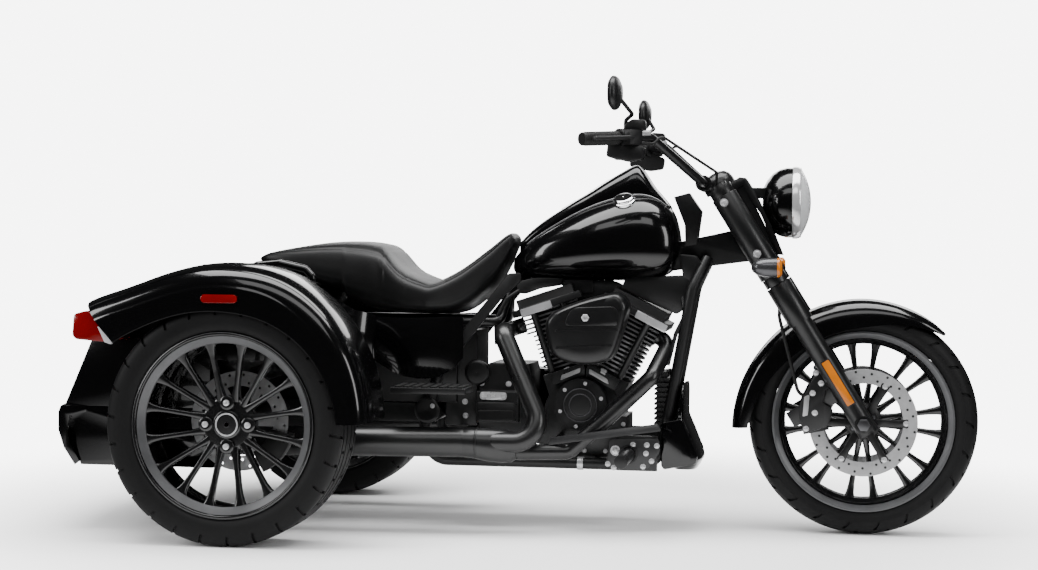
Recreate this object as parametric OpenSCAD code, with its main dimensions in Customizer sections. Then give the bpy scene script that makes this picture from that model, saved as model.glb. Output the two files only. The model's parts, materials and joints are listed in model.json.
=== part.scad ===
/* [Overall] */
// Length from the rear bumper to the front tyre
overall_length = 2580; // [2550:5:2610]
// Distance from the front axle to the rear axle
wheelbase = 1670; // [1655:5:1690]
// Distance between the middles of the rear tyres
track_width = 1120; // [1110:5:1130]

/* [Front wheel] */
// Diameter of the front tyre
front_tyre_d = 638.6; // [630:0.1:645]
// Width of the front tyre
front_tyre_w = 130; // [124:1:134]
// Height of the front tyre above its rim
front_sidewall = 65.3; // [62:0.1:70]
// Width over the front rim's flanges
front_rim_w = 106; // [104:1:110]
// Diameter of the front brake discs
front_disc_d = 300; // [290:1:306]

/* [Rear wheels] */
// Diameter of the rear tyres
rear_tyre_d = 641.7; // [634:0.1:648]
// Width of the rear tyres
rear_tyre_w = 205; // [198:1:210]
// Height of the rear tyres above their rims
rear_sidewall = 74.85; // [71:0.05:78]
// Width over the rear rims' flanges
rear_rim_w = 190; // [186:1:194]
// Diameter of the rear brake discs
rear_disc_d = 270; // [260:1:280]
// Spokes in each wheel
spoke_count = 16; // [12:4:20]

/* [Steering] */
// Angle of the steering axis from the vertical
head_angle = 26; // [25:0.5:27]
// Distance of the steering axis ahead of the front tyre's contact, on the floor
trail = 100; // [95:1:105]
// Angle of the fork legs from the vertical
fork_angle = 32; // [31.5:0.5:32.5]
// Distance between the middles of the fork legs
fork_spacing = 244; // [240:1:250]
// Diameter of the fork sliders
slider_d = 60; // [56:1:62]
// Diameter of the fork tubes
fork_tube_d = 49; // [45:1:51]
// Diameter of the fork covers
fork_cover_d = 74; // [70:1:78]
// Diameter of the steering stem
stem_d = 34; // [30:1:36]
// Outside diameter of the steering head
head_tube_d = 56; // [52:1:60]

/* [Handlebar] */
// Diameter of the handlebar tube
bar_d = 25.4; // [24:0.1:27]
// Width of the handlebar over its ends
bar_width = 860; // [840:5:880]
// Diameter of the grips
grip_d = 36; // [33:1:40]
// Length of the grips
grip_length = 128; // [118:1:135]

/* [Headlamp] */
// Diameter of the headlamp's ring
headlamp_d = 204; // [196:1:208]
// Height of the headlamp's middle above the floor
headlamp_z = 933; // [930:1:938]

/* [Engine] */
// Angle between the cylinders
vee_angle = 45; // [44:1:46]
// Forward lean of the vee's middle
vee_lean = 4; // [3:0.5:5]
// Diameter over the cylinder fins
fin_d = 158; // [150:1:162]
// Fins on each cylinder
fin_count = 9; // [7:1:10]
// Diameter of the exhaust headers
header_d = 45; // [42:1:48]
// Diameter of the mufflers
muffler_d = 82; // [78:1:84]

/* [Tank and seat] */
// Width of the fuel tank
tank_w = 300; // [290:2:310]
// Height of the fuel tank
tank_h = 250; // [244:2:254]
// Width of the seat at its widest
seat_w = 380; // [370:2:390]

/* [Rear body] */
// Width over the rear fenders
fender_span = 1346; // [1342:2:1352]
// Thickness of the fender shells
fender_wall = 6; // [5:0.5:7]
// Width of the trunk lid
lid_w = 800; // [780:5:820]
// Thickness of the trunk lid
lid_t = 20; // [16:1:22]
// Diameter of the lid's hinge edge
lid_hinge_d = 16; // [14:1:18]

/* [Hidden] */
$fn = 48;
// How far a cut runs past the face that it opens
overrun = 2;
// Gap between pieces that seat on each other
seat_gap = 0.3;
// Running gap round a shaft
run_gap = 0.05;
// Gap round a fixed shaft in its bore
fit_gap = 0.2;
// Room round a piece that moves
move_gap = 6;
// Sides of a bent tube, and the turn between its rings in degrees
tube_sides = 12;
bend_step = 16;

// Places of the axles
front_axle_x = overall_length/2 - front_tyre_d/2;
front_axle_z = front_tyre_d/2;
rear_axle_x = front_axle_x - wheelbase;
rear_axle_z = rear_tyre_d/2;
rear_wheel_y = track_width/2;
front_rim_d = front_tyre_d - 2*front_sidewall;
rear_rim_d = rear_tyre_d - 2*rear_sidewall;
// Length behind the rear axle
rear_overhang = overall_length - front_tyre_d/2 - wheelbase;
rear_end_x = -overall_length/2;

// Tyre outlines from bead to tread: share of the height, share of the half width
front_tyre_shares = [[0, 0.74], [0.07, 0.84], [0.25, 0.97], [0.45, 1], [0.64, 0.95], [0.82, 0.77],
    [0.94, 0.48], [1, 0.16]];
rear_tyre_shares = [[0, 0.85], [0.08, 0.92], [0.3, 0.99], [0.55, 1], [0.78, 0.97], [0.91, 0.9],
    [0.98, 0.79], [1, 0.6]];
tyre_wall = 14;
// Rim section: share of the flange radius, share of the half width
rim_shares = [[1, -1], [1, 1], [0.968, 1], [0.95, 0.86], [0.91, 0.6], [0.895, 0.2], [0.895, -0.2],
    [0.91, -0.6], [0.95, -0.86], [0.968, -1]];
spoke_w = 15;
spoke_t = 22;
spoke_root = 10;
front_hub_r = 52;
front_hub_half = 77;
front_barrel_hub_r = 40;
axle_r = 12;
disc_t = 5;
disc_band = 40;
disc_arm_w = 26;
disc_arm_count = 6;
disc_hole_r = 4;
disc_hole_count = 20;
rear_hub_r = 74;
rear_hub_t = 34;
rear_hub_in = 12;
rear_cap_r = 36;
rear_cap_t = 10;
rear_boss_r = 20;
rear_boss_share = 0.78;
rear_boss_t = 8;
rear_lug_count = 4;
rear_face_in = 22;
rear_neck_r = 48;
rear_neck_out = 62;
stub_r = 20;
stub_length = 110;
// Angles of a spoke's foot and tip from the middle of its pair, in shares of the pitch between pairs
lug_pair_shares = [0.36, 0.25];
vee_pair_shares = [0.12, 0.25];

// Steering axis and fork line
steer_foot_x = front_axle_x + trail;
fork_y = fork_spacing/2;
slider_low = 30;
slider_high = 330;
boot_r = 36;
boot_high = 452;
clamp_t = 26;
lower_clamp_s = 454;
upper_clamp_s = 742;
clamp_boss_r = 34;
clamp_web = 52;
fork_tube_top = 776;
leg_boss_r = 25;
leg_boss_in = 26;
leg_boss_out = 30;
nut_r = 18;
nut_t = 12;
head_low = 836;
head_high = 1006;
stem_boss_r = 30;
cover_wall = 5;
riser_r = 14;
riser_y = 28;
riser_half = 14;
riser_boss_r = 23;

// Front fender: share of the sweep, crown radius share, skirt depth share, half width share
fender_from_angle = 48;
fender_to_angle = 184;
front_fender_gap = 26.7;
front_fender_r = front_tyre_d/2 + front_fender_gap;
front_fender_half = 82;
front_skirt = 84;
front_fender_wall = 4;
front_fender_shares = [[0, 0.975, 0.1, 0.55], [0.1, 0.985, 0.42, 0.86], [0.3, 0.995, 0.92, 1],
    [0.5, 1, 1, 1], [0.7, 1.01, 0.92, 1], [0.88, 1.04, 0.72, 1], [1, 1.065, 0.55, 0.96]];
fender_boss_r = 12;
fender_boss_s = 270;

// Front brake
caliper_wall = 13;
caliper_room = 5;
caliper_r_in = 96;
caliper_from = 148;
caliper_sweep = 44;
lug_s = 110;
lug_h = 46;
lug_t = 14;
hose_r = 5;
hose_bend = 30;
hose_drop = 82;
hose_angle = 156;

// Headlamp
lamp_back = 205;
lamp_x = front_axle_x - lamp_back;
lamp_depth = 84;
lamp_wall = 3;
lamp_ring_t = 24;
lamp_ring_wall = 8;
lamp_dome = 27;
// Bowl outline from its back: share of the depth, share of the radius
lamp_bowl_shares = [[0, 0.3], [0.04, 0.45], [0.14, 0.62], [0.32, 0.8], [0.55, 0.92], [0.8, 0.97], [1,
    0.97]];
dome_r = 46;
dome_h = 50;
// Dome outline from its foot: share of the radius, share of the height
dome_shares = [[1, 0], [1, 0.3], [0.93, 0.58], [0.74, 0.82], [0.4, 0.96], [0, 1]];
skirt_half = 62;
skirt_depth = 77;
skirt_low = 516;
skirt_h = 251;
// Outline of the cover ahead of the fork: shares of its depth ahead of the fork line and of its height
skirt_shares = [[0.182, 0.908], [0.753, 0.908], [0.753, 0.494], [0.597, 0.215], [0.532, 0.032], [0.675, 0],
    [0.883, 0.375], [1, 0.797], [0.987, 0.956], [0.805, 1], [0.182, 0.996]];
ear_t = 10;
ear_y = 42;
ear_h = 28;

// Handlebar places from the front axle and the floor
bar_clamp_back = 456;
bar_clamp_z = 985;
bar_clamp_half = 72;
bar_knee_back = 590;
bar_knee_z = 1104;
bar_knee_half = 250;
bar_end_back = 756;
bar_end_z = 1088;
bar_bend = 60;
switch_r = 25;
switch_w = 48;
switch_gap = 3;
lever_r = 6;
lever_reach = 62;
lever_length = 165;
reservoir_w = 44;
reservoir_d = 44;
reservoir_h = 40;
mirror_stem_r = 5.5;
mirror_half_y = 68;
mirror_half_z = 45;
mirror_half_x = 17;
mirror_rise = 112;
mirror_out = 112;
mirror_back = 16;
mirror_knee_rise = 62;
mirror_knee_out = 14;
mirror_knee_fwd = 20;

// Turn signals
signal_r = 27;
signal_length = 84;
signal_y = 200;
signal_s = 508;
signal_stalk_r = 9;
signal_lens_t = 14;
// Bullet outline from its back: share of the length, share of the radius
signal_shares = [[0, 0.2], [0.05, 0.45], [0.2, 0.75], [0.45, 0.95], [0.7, 1], [1, 1]];

// Engine
crank_back = 787;
crank_z = 322;
case_half = 92;
case_floor = 112;
case_length = 250;
deck_s = 142;
deck_w = 150;
barrel_r = 57;
barrel_top_s = 258;
head_top_s = 322;
head_half = 84;
head_half_y = 76;
fin_t = 5;
rocker_top_s = 368;
rocker_half = 102;
rocker_half_y = 108;
rocker_lid_share = 0.82;
rocker_step = 20;
vee_gap = 4;
pushrod_r = 10;
pushrod_y = 94;
pushrod_lean_share = 0.3;
tappet_h = 34;
cam_back = 0;
cam_rise = 34;
cam_r = 74;
cam_t = 52;
cam_ring_r = 48;
cam_ring_t = 6;
gearbox_length = 176;
gearbox_low = 250;
gearbox_high = 466;
gearbox_half = 94;
gearbox_corner = 30;
gear_cover_t = 38;
gear_cover_l = 122;
gear_cover_low = 300;
gear_cover_high = 388;
primary_t = 76;
primary_r = 104;
clutch_r = 116;
clutch_back = 236;
clutch_rise = 14;
intake_low = 284;
intake_high = 320;
intake_half_y = 40;

// Air cleaner outline: shares of its length and height, going round
cleaner_back = 870;
cleaner_length = 216;
cleaner_low = 479;
cleaner_h = 191;
cleaner_y = 134;
cleaner_t = 118;
cleaner_outline_shares = [[0, 0.54], [0.03, 0.28], [0.11, 0.11], [0.3, 0.02], [0.53, 0], [0.72, 0.04],
    [0.83, 0.14], [0.92, 0.42], [0.99, 0.72], [1, 0.84], [0.94, 0.95], [0.84, 1], [0.62, 0.95],
    [0.36, 0.86], [0.14, 0.75], [0.04, 0.66]];
// Cover rings: share of the depth, share of the outline's size
cleaner_ring_shares = [[0, 0.8], [0.12, 0.94], [0.3, 1], [0.62, 1], [0.82, 0.97], [0.94, 0.9], [1, 0.8]];

// Exhaust places from the front axle, the middle and the floor
header_bend = 34;
muffler_y = 286;
muffler_start_back = 1055;
muffler_drop = 62.85;
muffler_end_drop = 76.85;
muffler_over = 230;
muffler_z = rear_axle_z - muffler_drop;
muffler_end_z = rear_axle_z - muffler_end_drop;
muffler_end_back = wheelbase + muffler_over;
muffler_neck_r = 26;
muffler_neck = 36;
muffler_tip_r = 30;
front_header_back = 585;
front_header_z = 440;
front_low_back = 730;
front_low_z = 300;
front_run_back = 812;
front_run_drop = 28;
rear_header_back = 1006;
rear_header_z = 556;
rear_low_back = 858;
sweep_bend = 62;
crossover_r = 18;
crossover_run = 81;
collector_length = 52;
collector_rise = 12;
collector_inset = 16;

// Frame
rail_r = 16;
rail_z = 190;
rail_y = 128;
down_y = 86;
down_top_back = 480;
down_top_z = 690;
down_low_back = 545;
down_low_z = 315;
down_start_back = 440;
down_start_z = 772;
rail_rear_back = 1210;
rail_rear_z = 270;
upright_back = 1180;
upright_z = 520;
rail_front_run = 24;
rail_bend = 60;
spine_w = 56;
spine_front_z = 868;
spine_front_low_z = 770;
spine_mid_back = 640;
spine_mid_z = 792;
spine_mid_low_z = 722;
spine_knee_back = 950;
spine_knee_z = 740;
spine_knee_low_z = 706;
spine_rear_back = 1016;
spine_rear_z = 684;
spine_rear_low_z = 650;
seat_rail_r = 14;
seat_rail_y = 116;
seat_rail_z = 584;
cross_backs_share = [0.22, 0.78];
neck_half = 34;
neck_back = 540;
neck_length = 79;
neck_low = 806;
neck_h = 158;
// Outline of the box behind the steering head: shares of its length and height
neck_shares = [[0, 0.886], [0.544, 0.962], [1, 0.633], [0.886, 0.203], [0.835, 0.038], [0.43, 0], [0.405, 0.38]];

// Chin fairing: share of the height, half width share, rear share, front share
chin_depth = 80;
chin_boss_z = 365;
chin_boss_r = 10;
chin_rings = 14;
chin_sides = 24;
chin_low = 178;
chin_h = 236;
chin_half = 138;
chin_shares = [[0, 0.8, 0, 0.84], [0.06, 0.94, 0, 0.94], [0.15, 1, 0, 1], [0.4, 0.98, 0, 0.72],
    [0.6, 0.92, 0.02, 0.46], [0.68, 0.88, 0.07, 0.43], [0.9, 0.84, 0.2, 0.43], [1, 0.72, 0.26, 0.41]];

// Fuel tank: share of the length, half width share, low share, waist share, high share
tank_front_back = 520;
tank_rear_back = 1002;
tank_low_z = 706;
tank_square_share = 0.8;
tank_shares = [[0, 0.34, 0.05, 0.14, 0.24], [0.1, 0.6, 0.01, 0.22, 0.43], [0.22, 0.8, 0, 0.3, 0.59],
    [0.4, 0.95, 0, 0.36, 0.79], [0.56, 1, 0, 0.4, 0.92], [0.72, 1, 0, 0.42, 1], [0.83, 0.97, 0.02, 0.42, 0.98],
    [0.92, 0.87, 0.07, 0.42, 0.87], [0.975, 0.72, 0.17, 0.41, 0.72], [1, 0.52, 0.28, 0.4, 0.56]];
tank_rings = 27;
tank_sides = 32;
tunnel_side = 6;

// Tank console: share of the length, half width share, height share above the tank
console_front_back = 550;
console_rear_back = 982;
console_half = 62;
console_h = 80;
console_shares = [[0, 0.5, 0.34], [0.16, 0.66, 0.42], [0.32, 0.8, 0.46], [0.46, 0.88, 0.53], [0.56, 0.94, 0.67],
    [0.68, 0.98, 0.86], [0.77, 1, 1], [0.82, 1, 0.82], [0.9, 0.96, 0.3], [1, 0.84, 0.06]];
console_rings = 30;
console_end_share = 0.02;
console_sides = 7;
console_arc = 8;
console_seat = 2;

// Seat: share of the length, half width share, low share, high share, both of the pillion's height
seat_rear_over = 66;
seat_front_back = 992;
seat_low_z = 604;
seat_rise = 206;
seat_base_run = 42;
seat_square_share = 0.55;
seat_shares = [[0, 0.6, 0.7, 0.79], [0.05, 0.72, 0.66, 0.84], [0.13, 0.8, 0.56, 0.9],
    [0.27, 0.87, 0.34, 0.98], [0.38, 0.92, 0.14, 1], [0.46, 0.95, 0.05, 0.975], [0.51, 0.98, 0.02, 0.905],
    [0.58, 1, 0, 0.63], [0.66, 1, 0, 0.49], [0.71, 0.98, 0, 0.468], [0.8, 0.8, 0.03, 0.64],
    [0.9, 0.6, 0.3, 0.92], [0.96, 0.48, 0.64, 1.1], [0.985, 0.44, 0.86, 1.14], [1, 0.38, 0.98, 1.12]];
seat_rings = 28;
seat_sides = 24;

// Side covers: share of the length, low share, high share, outward share
cover_rear_over = 290;
cover_front_back = 1120;
cover_low_z = 424;
cover_h = 176;
cover_y = 196;
cover_bulge = 26;
cover_t = 6;
cover_shares = [[0, 0.3, 0.98, 0.7], [0.3, 0.06, 0.97, 1], [0.6, 0, 0.98, 0.9], [0.85, 0.12, 1, 0.4],
    [1, 0.34, 1, 0]];
cover_rows = 8;
cover_columns = 10;
cover_post_r = 10;

// Rear body, measured from the rear axle and the floor
body_half = 430;
body_wall = 6;
body_floor_z = 346;
bumper_reach = 67.7;
body_rear_over = rear_overhang - bumper_reach;
body_rake = 74;
body_sill_over = body_rear_over - body_rake;
body_sill_z = 522;
body_lip_in = 45;
body_lip_over = body_sill_over - body_lip_in;
body_lip_z = 612;
deck_rear_over = 112;
deck_rear_z = 742;
deck_front_over = 160;
deck_front_z = 668;
deck_low_z = 480;
lid_drop = 20;
lid_gap = 6;
hinge_pin_r = 4;
hinge_pin = 36;
hinge_ear = 20;
hinge_side_gap = 5;

// Rear fenders: angle share of the sweep, crown radius share, lip radius share
arch_from_angle = 2;
arch_to_angle = 144;
crown_gap = 105.15;
lip_gap = 25.15;
crown_r = rear_tyre_d/2 + crown_gap;
lip_r = rear_tyre_d/2 + lip_gap;
fender_shares = [[0, 0.92, 0.9], [0.1, 0.93, 0.885], [0.25, 0.955, 0.875], [0.45, 1, 0.865],
    [0.62, 1.005, 0.865], [0.78, 1.02, 0.905], [0.9, 1.075, 0.965], [1, 1.18, 1.05]];
// Across the shell from lip to inner edge: outward share of the width, share from lip to crown
fender_section_shares = [[1, 0], [1, 0.25], [1, 0.45], [0.985, 0.62], [0.94, 0.78], [0.86, 0.9], [0.74,
    0.97],
    [0.58, 1], [0.38, 1], [0.18, 0.985], [0, 0.96], [0, 0.6]];
fender_steps = 26;

// Tail lamps, markers and bumper
tail_lamp_y = 452;
tail_lamp_w = 140;
// Front edge on the fender's end, then the lens outline: shares of its length and height
lamp_edge_shares = [0.9, 1.17];
tail_lamp_over = 318;
tail_lamp_length = 109;
tail_lamp_rise = 209;
tail_lamp_low = rear_axle_z + tail_lamp_rise;
tail_lamp_h = 86;
tail_lamp_shares = [[0.97, 0.93], [1, 0.7], [0.9, 0.05], [0.11, 0]];
marker_length = 98;
marker_h = 22;
marker_t = 6;
marker_rise_share = 0.784389;
marker_z = rear_axle_z + crown_r*marker_rise_share;
marker_over = 4;
bumper_plan_r = 1800;
bumper_half_angle = 14.5;
bumper_low = 182;
bumper_depth = 76;
bumper_end_over = 60;
// Bumper section: share of the depth from the rear face, share of the height
bumper_shares = [[0.6, 0], [0.2, 0.3], [0, 0.6], [0, 0.9], [0.08, 1], [1, 1], [1, 0.9], [0.4, 0.84],
    [0.3, 0.6],
    [0.44, 0.34], [0.76, 0.06]];

// Rear axle and brakes
axle_tube_r = 30;
axle_tube_half = 486;
axle_bore_depth = 104;
diff_r = 92;
diff_half = 80;
arm_y = 86;
arm_w = 36;
arm_h = 54;
arm_pivot_back = 1212;
pivot_r = 22;
rear_caliper_from = -62;
rear_caliper_sweep = 50;
rear_caliper_r_in = 92;

// Foot pieces
board_back = 1293;
board_length = 210;
board_z = 392;
board_t = 16;
board_in_y = 206;
board_out_y = 334;
board_post_r = 13;
peg_back = 649;
peg_z = 222;
peg_r = 19;
peg_out_y = 356;
plate_back = 680;
plate_length = 112;
plate_low = 176;
plate_high = 274;
plate_t = 14;

// Battery box under the seat, from behind the gearbox to the rear body
battery_gap = 5;
battery_front_back = 1092;
battery_step_back = 1184;
battery_wide_back = 1148;
battery_low_z = muffler_z + crossover_r + 2*battery_gap;
battery_high_z = 560;

// Helpers: blends, tables and directions
function mix(a, b, t) = a + (b - a)*t;
function unit(v) = v/norm(v);
function turn(r, a) = [r*cos(a), r*sin(a)];
function powered(v, p) = sign(v)*pow(abs(v), p);
// Row of a table of shares at t, from 0 to the last row, on a smooth curve through the rows
function row_at(table, t) =
    let (last = len(table) - 1, i = min(floor(t), last - 1), f = t - i)
    let (a = table[max(i - 1, 0)], b = table[i], c = table[i + 1], d = table[min(i + 2, last)])
    (2*b + (c - a)*f + (2*a - 5*b + 4*c - d)*f*f + (3*b - a - 3*c + d)*f*f*f)/2;
function rows(table, n) = [for (i = [0:n]) row_at(table, i*(len(table) - 1)/n)];
// Row of a table whose first column rises from 0 to 1, at that column's value s
function row_of(table, s) =
    let (last = len(table) - 1)
    let (i = max([0, for (k = [0:last - 1]) if (table[k][0] <= s) k]))
    mix(table[i], table[i + 1], (s - table[i][0])/(table[i + 1][0] - table[i][0]));

// Round section across X: half width w, from low to high with its waist between
function section(x, w, low, waist, high, power_share, sides) = [for (k = [0:sides - 1])
    let (a = 360*k/sides, c = powered(cos(a), power_share), s = powered(sin(a), power_share))
    [x, w*c, waist + s*(s > 0 ? high - waist : waist - low)]];

// Closed skin through rings of points, each ring turning left as seen from ahead
module loft(rings) {
    n = len(rings);
    m = len(rings[0]);
    points = [for (r = rings) each r];
    walls = [for (i = [0:n - 2], k = [0:m - 1]) let (a = i*m + k, b = i*m + (k + 1)%m)
        each [[a, a + m, b + m], [a, b + m, b]]];
    first = [for (k = [0:m - 1]) k];
    last = [for (k = [m - 1:-1:0]) (n - 1)*m + k];
    polyhedron(points, concat([first, last], walls), convexity = 4);
}

// Panel between two sheets of points with the same rows and columns
module panel(outer, inner) {
    n = len(outer);
    m = len(outer[0]);
    q = n*m;
    points = [for (r = concat(outer, inner)) each r];
    skin = [for (i = [0:n - 2], j = [0:m - 2]) let (a = i*m + j, b = a + 1, c = a + m + 1, d = a + m)
        each [[a, d, c], [a, c, b], [a + q, c + q, d + q], [a + q, b + q, c + q]]];
    sides = [for (i = [0:n - 2]) let (a = i*m, d = a + m, b = a + m - 1, c = d + m - 1)
        each [[d, a, a + q], [d, a + q, d + q], [b, c, c + q], [b, c + q, b + q]]];
    ends = [for (j = [0:m - 2]) let (a = j, b = j + 1, d = (n - 1)*m + j, c = d + 1)
        each [[a, b, b + q], [a, b + q, a + q], [c, d, d + q], [c, d + q, c + q]]];
    polyhedron(points, concat(skin, sides, ends), convexity = 6);
}

// The same sheet with each row in the other order, which turns its outside round
function turned(sheet) = [for (r = sheet) [for (i = [len(r) - 1:-1:0]) r[i]]];

// Child with its Z axis from a towards b
module along(a, b) {
    z = unit(b - a);
    x = unit(cross(abs(z[2]) < 0.9 ? [0, 0, 1] : [1, 0, 0], z));
    y = cross(z, x);
    multmatrix([[x[0], y[0], z[0], a[0]], [x[1], y[1], z[1], a[1]], [x[2], y[2], z[2], a[2]], [0, 0, 0, 1]])
        children();
}
module rod(a, b, r) along(a, b) cylinder(h = norm(b - a), r = r);

// Middle line of a tube along straight runs joined by bends: rows of a place and a direction
function tube_line(path, bends) =
    let (last = len(path) - 1, way = [for (i = [0:last - 1]) unit(path[i + 1] - path[i])])
    concat([[path[0], way[0]]], [for (i = [1:1:last - 1])
        let (bend = is_list(bends) ? bends[i - 1] : bends)
        let (d = way[i - 1], e = way[i], a = acos(d*e), c = path[i] + unit(e - d)*bend/cos(a/2))
        let (x = unit(path[i] - d*bend*tan(a/2) - c), n = max(1, ceil(a/bend_step)))
        for (k = [0:n]) let (t = a*k/n) [c + bend*(x*cos(t) + d*sin(t)), d*cos(t) - x*sin(t)]],
        [[path[last], way[last - 1]]]);
function side_of(way, before) = unit(before - way*(before*way));
// Tube of radius r with round bends, swept along its middle line
module bent_tube(path, r, bend, sides = tube_sides) {
    line = tube_line(path, bend);
    start = side_of(line[0][1], abs(line[0][1][2]) < 0.9 ? [0, 0, 1] : [1, 0, 0]);
    normals = [for (i = 0, n = start; i < len(line); i = i + 1, n = i < len(line) ? side_of(line[i][1],
        n) : n) n];
    loft([for (i = [0:len(line) - 1]) let (u = normals[i], v = cross(line[i][1], u))
        [for (k = [0:sides - 1]) let (a = 360*k/sides) line[i][0] + r*(u*cos(a) + v*sin(a))]]);
}

module both_sides() {
    children();
    mirror([0, 1, 0]) children();
}
// Profile in X and Z drawn across the width from y0 to y1
module across(y0, y1) translate([0, y1, 0]) rotate([90, 0, 0]) linear_extrude(y1 - y0) children();
// Child turned so that its Z axis points along Y, at an axle
module on_axle(x, y, z) translate([x, y, z]) rotate([-90, 0, 0]) children();
// Child turned so that its Z axis points forward
module facing_front(x, y, z) translate([x, y, z]) rotate([0, 90, 0]) children();
function fork_point(s) = [front_axle_x - s*sin(fork_angle), 0, front_axle_z + s*cos(fork_angle)];
module on_fork(s, y) translate(fork_point(s) + [0, y, 0]) rotate([0, -fork_angle, 0]) children();
function steer_point(s) = [steer_foot_x - s*sin(head_angle), 0, s*cos(head_angle)];
module on_steer(s) translate(steer_point(s)) rotate([0, -head_angle, 0]) children();
function front_place(back, y, z) = [front_axle_x - back, y, z];

// Wheels
function tyre_side(bead_r, top_r, half_w, shares) = [for (s = shares) [mix(bead_r, top_r, s[0]),
    half_w*s[1]]];
module tyre(bead_r, top_r, width, shares) {
    outer = tyre_side(bead_r, top_r, width/2, shares);
    inner = tyre_side(bead_r, top_r - tyre_wall, width/2 - tyre_wall, shares);
    last = len(shares) - 1;
    rotate_extrude()
        polygon(concat(outer, [for (i = [last:-1:0]) [outer[i][0], -outer[i][1]]],
            [for (p = inner) [p[0], -p[1]]], [for (i = [last:-1:0]) inner[i]]));
}
module rim_barrel(flange_r, width) rotate_extrude()
    polygon([for (s = rim_shares) [s[0]*flange_r, s[1]*width/2]]);
// Straight spoke between two points, as deep as spoke_t along the axle
module spoke(a, b) {
    x = unit(b - a);
    y = unit(cross([0, 0, 1], x));
    z = cross(x, y);
    multmatrix([[x[0], y[0], z[0], a[0]], [x[1], y[1], z[1], a[1]], [x[2], y[2], z[2], a[2]], [0, 0, 0, 1]])
        translate([-spoke_root, -spoke_w/2, -spoke_t/2]) cube([norm(b - a) + spoke_root, spoke_w, spoke_t]);
}
module paired_spokes(foot_r, foot_z, tip_r, tip_z, pairs, shares, turned)
    for (k = [0:pairs - 1], side = [-1, 1])
        let (pitch = 360/pairs, middle = turned + k*pitch)
        spoke([each turn(foot_r, middle + side*shares[0]*pitch), foot_z],
            [each turn(tip_r, middle + side*shares[1]*pitch), tip_z]);

module front_tyre() color("#1b1b1c") on_axle(front_axle_x, 0, front_axle_z)
    tyre(front_rim_d/2 + fit_gap, front_tyre_d/2, front_tyre_w, front_tyre_shares);
// Widths of a pair's two gaps, as a share of the pitch: a narrow one inside the pair
front_pair_share = 0.2;
module front_rim() color("#2a2a2c") on_axle(front_axle_x, 0, front_axle_z) difference() {
    union() {
        rim_barrel(front_rim_d/2, front_rim_w);
        cylinder(r = front_hub_r, h = spoke_t + spoke_root, center = true);
        cylinder(r = front_barrel_hub_r, h = 2*front_hub_half, center = true);
        paired_spokes(front_hub_r, 0, front_rim_d/2*rim_shares[5][0], 0, spoke_count/2,
            [front_pair_share, front_pair_share], 0);
    }
    cylinder(r = axle_r + run_gap, h = 2*front_hub_half + overrun, center = true);
}
module disc_sheet(r, band, hub_r, bore_r) difference() {
    union() {
        difference() {
            circle(r);
            circle(r - band);
        }
        difference() {
            union() {
                circle(hub_r);
                for (k = [0:disc_arm_count - 1]) rotate(k*360/disc_arm_count) translate([0, -disc_arm_w/2])
                    square([r - band/2, disc_arm_w]);
            }
            circle(bore_r);
        }
    }
    for (k = [0:disc_hole_count - 1], row = [-1, 1]) rotate((k + row/4)*360/disc_hole_count)
        translate([r - band/2 + row*band/4, 0]) circle(disc_hole_r);
}
module front_discs() color("#b9babb") both_sides()
    on_axle(front_axle_x, front_hub_half, front_axle_z)
        linear_extrude(disc_t) disc_sheet(front_disc_d/2, disc_band, front_barrel_hub_r, axle_r + move_gap);

module rear_wheel_place() on_axle(rear_axle_x, rear_wheel_y, rear_axle_z) children();
module rear_tyre_left() color("#1b1b1c") rear_wheel_place()
    tyre(rear_rim_d/2 + fit_gap, rear_tyre_d/2, rear_tyre_w, rear_tyre_shares);
module rear_tyre_right() mirror([0, 1, 0]) rear_tyre_left();
rear_tip_z = rear_rim_w/2 - rear_face_in - spoke_t/2;
rear_foot_z = rear_hub_in + rear_hub_t - spoke_t/2;
module rear_rim_left() color("#2a2a2c") rear_wheel_place() union() {
    rim_barrel(rear_rim_d/2, rear_rim_w);
    translate([0, 0, rear_hub_in]) cylinder(r = rear_hub_r, h = rear_hub_t);
    translate([0, 0, rear_hub_in + rear_hub_t]) cylinder(r = rear_cap_r, h = rear_cap_t);
    for (k = [0:rear_lug_count - 1]) rotate(k*360/rear_lug_count)
        translate([rear_hub_r*rear_boss_share, 0, rear_hub_in + rear_hub_t]) cylinder(r = rear_boss_r,
            h = rear_boss_t);
    translate([0, 0, -rear_neck_out]) cylinder(r = rear_neck_r, h = rear_neck_out + rear_hub_in);
    translate([0, 0, -rear_neck_out - disc_t - stub_length]) cylinder(r = stub_r, h = stub_length + disc_t);
    paired_spokes(rear_hub_r, rear_foot_z, rear_rim_d/2*rim_shares[4][0], rear_tip_z, spoke_count/4,
        lug_pair_shares/2, 0);
    paired_spokes(rear_hub_r, rear_foot_z, rear_rim_d/2*rim_shares[4][0], rear_tip_z, spoke_count/4,
        vee_pair_shares/2, 720/spoke_count);
}
module rear_rim_right() mirror([0, 1, 0]) rear_rim_left();
module rear_disc_left() color("#b9babb") rear_wheel_place() translate([0, 0, -rear_neck_out - disc_t])
    linear_extrude(disc_t) disc_sheet(rear_disc_d/2, disc_band, rear_neck_r, stub_r + fit_gap);
module rear_disc_right() mirror([0, 1, 0]) rear_disc_left();

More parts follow.
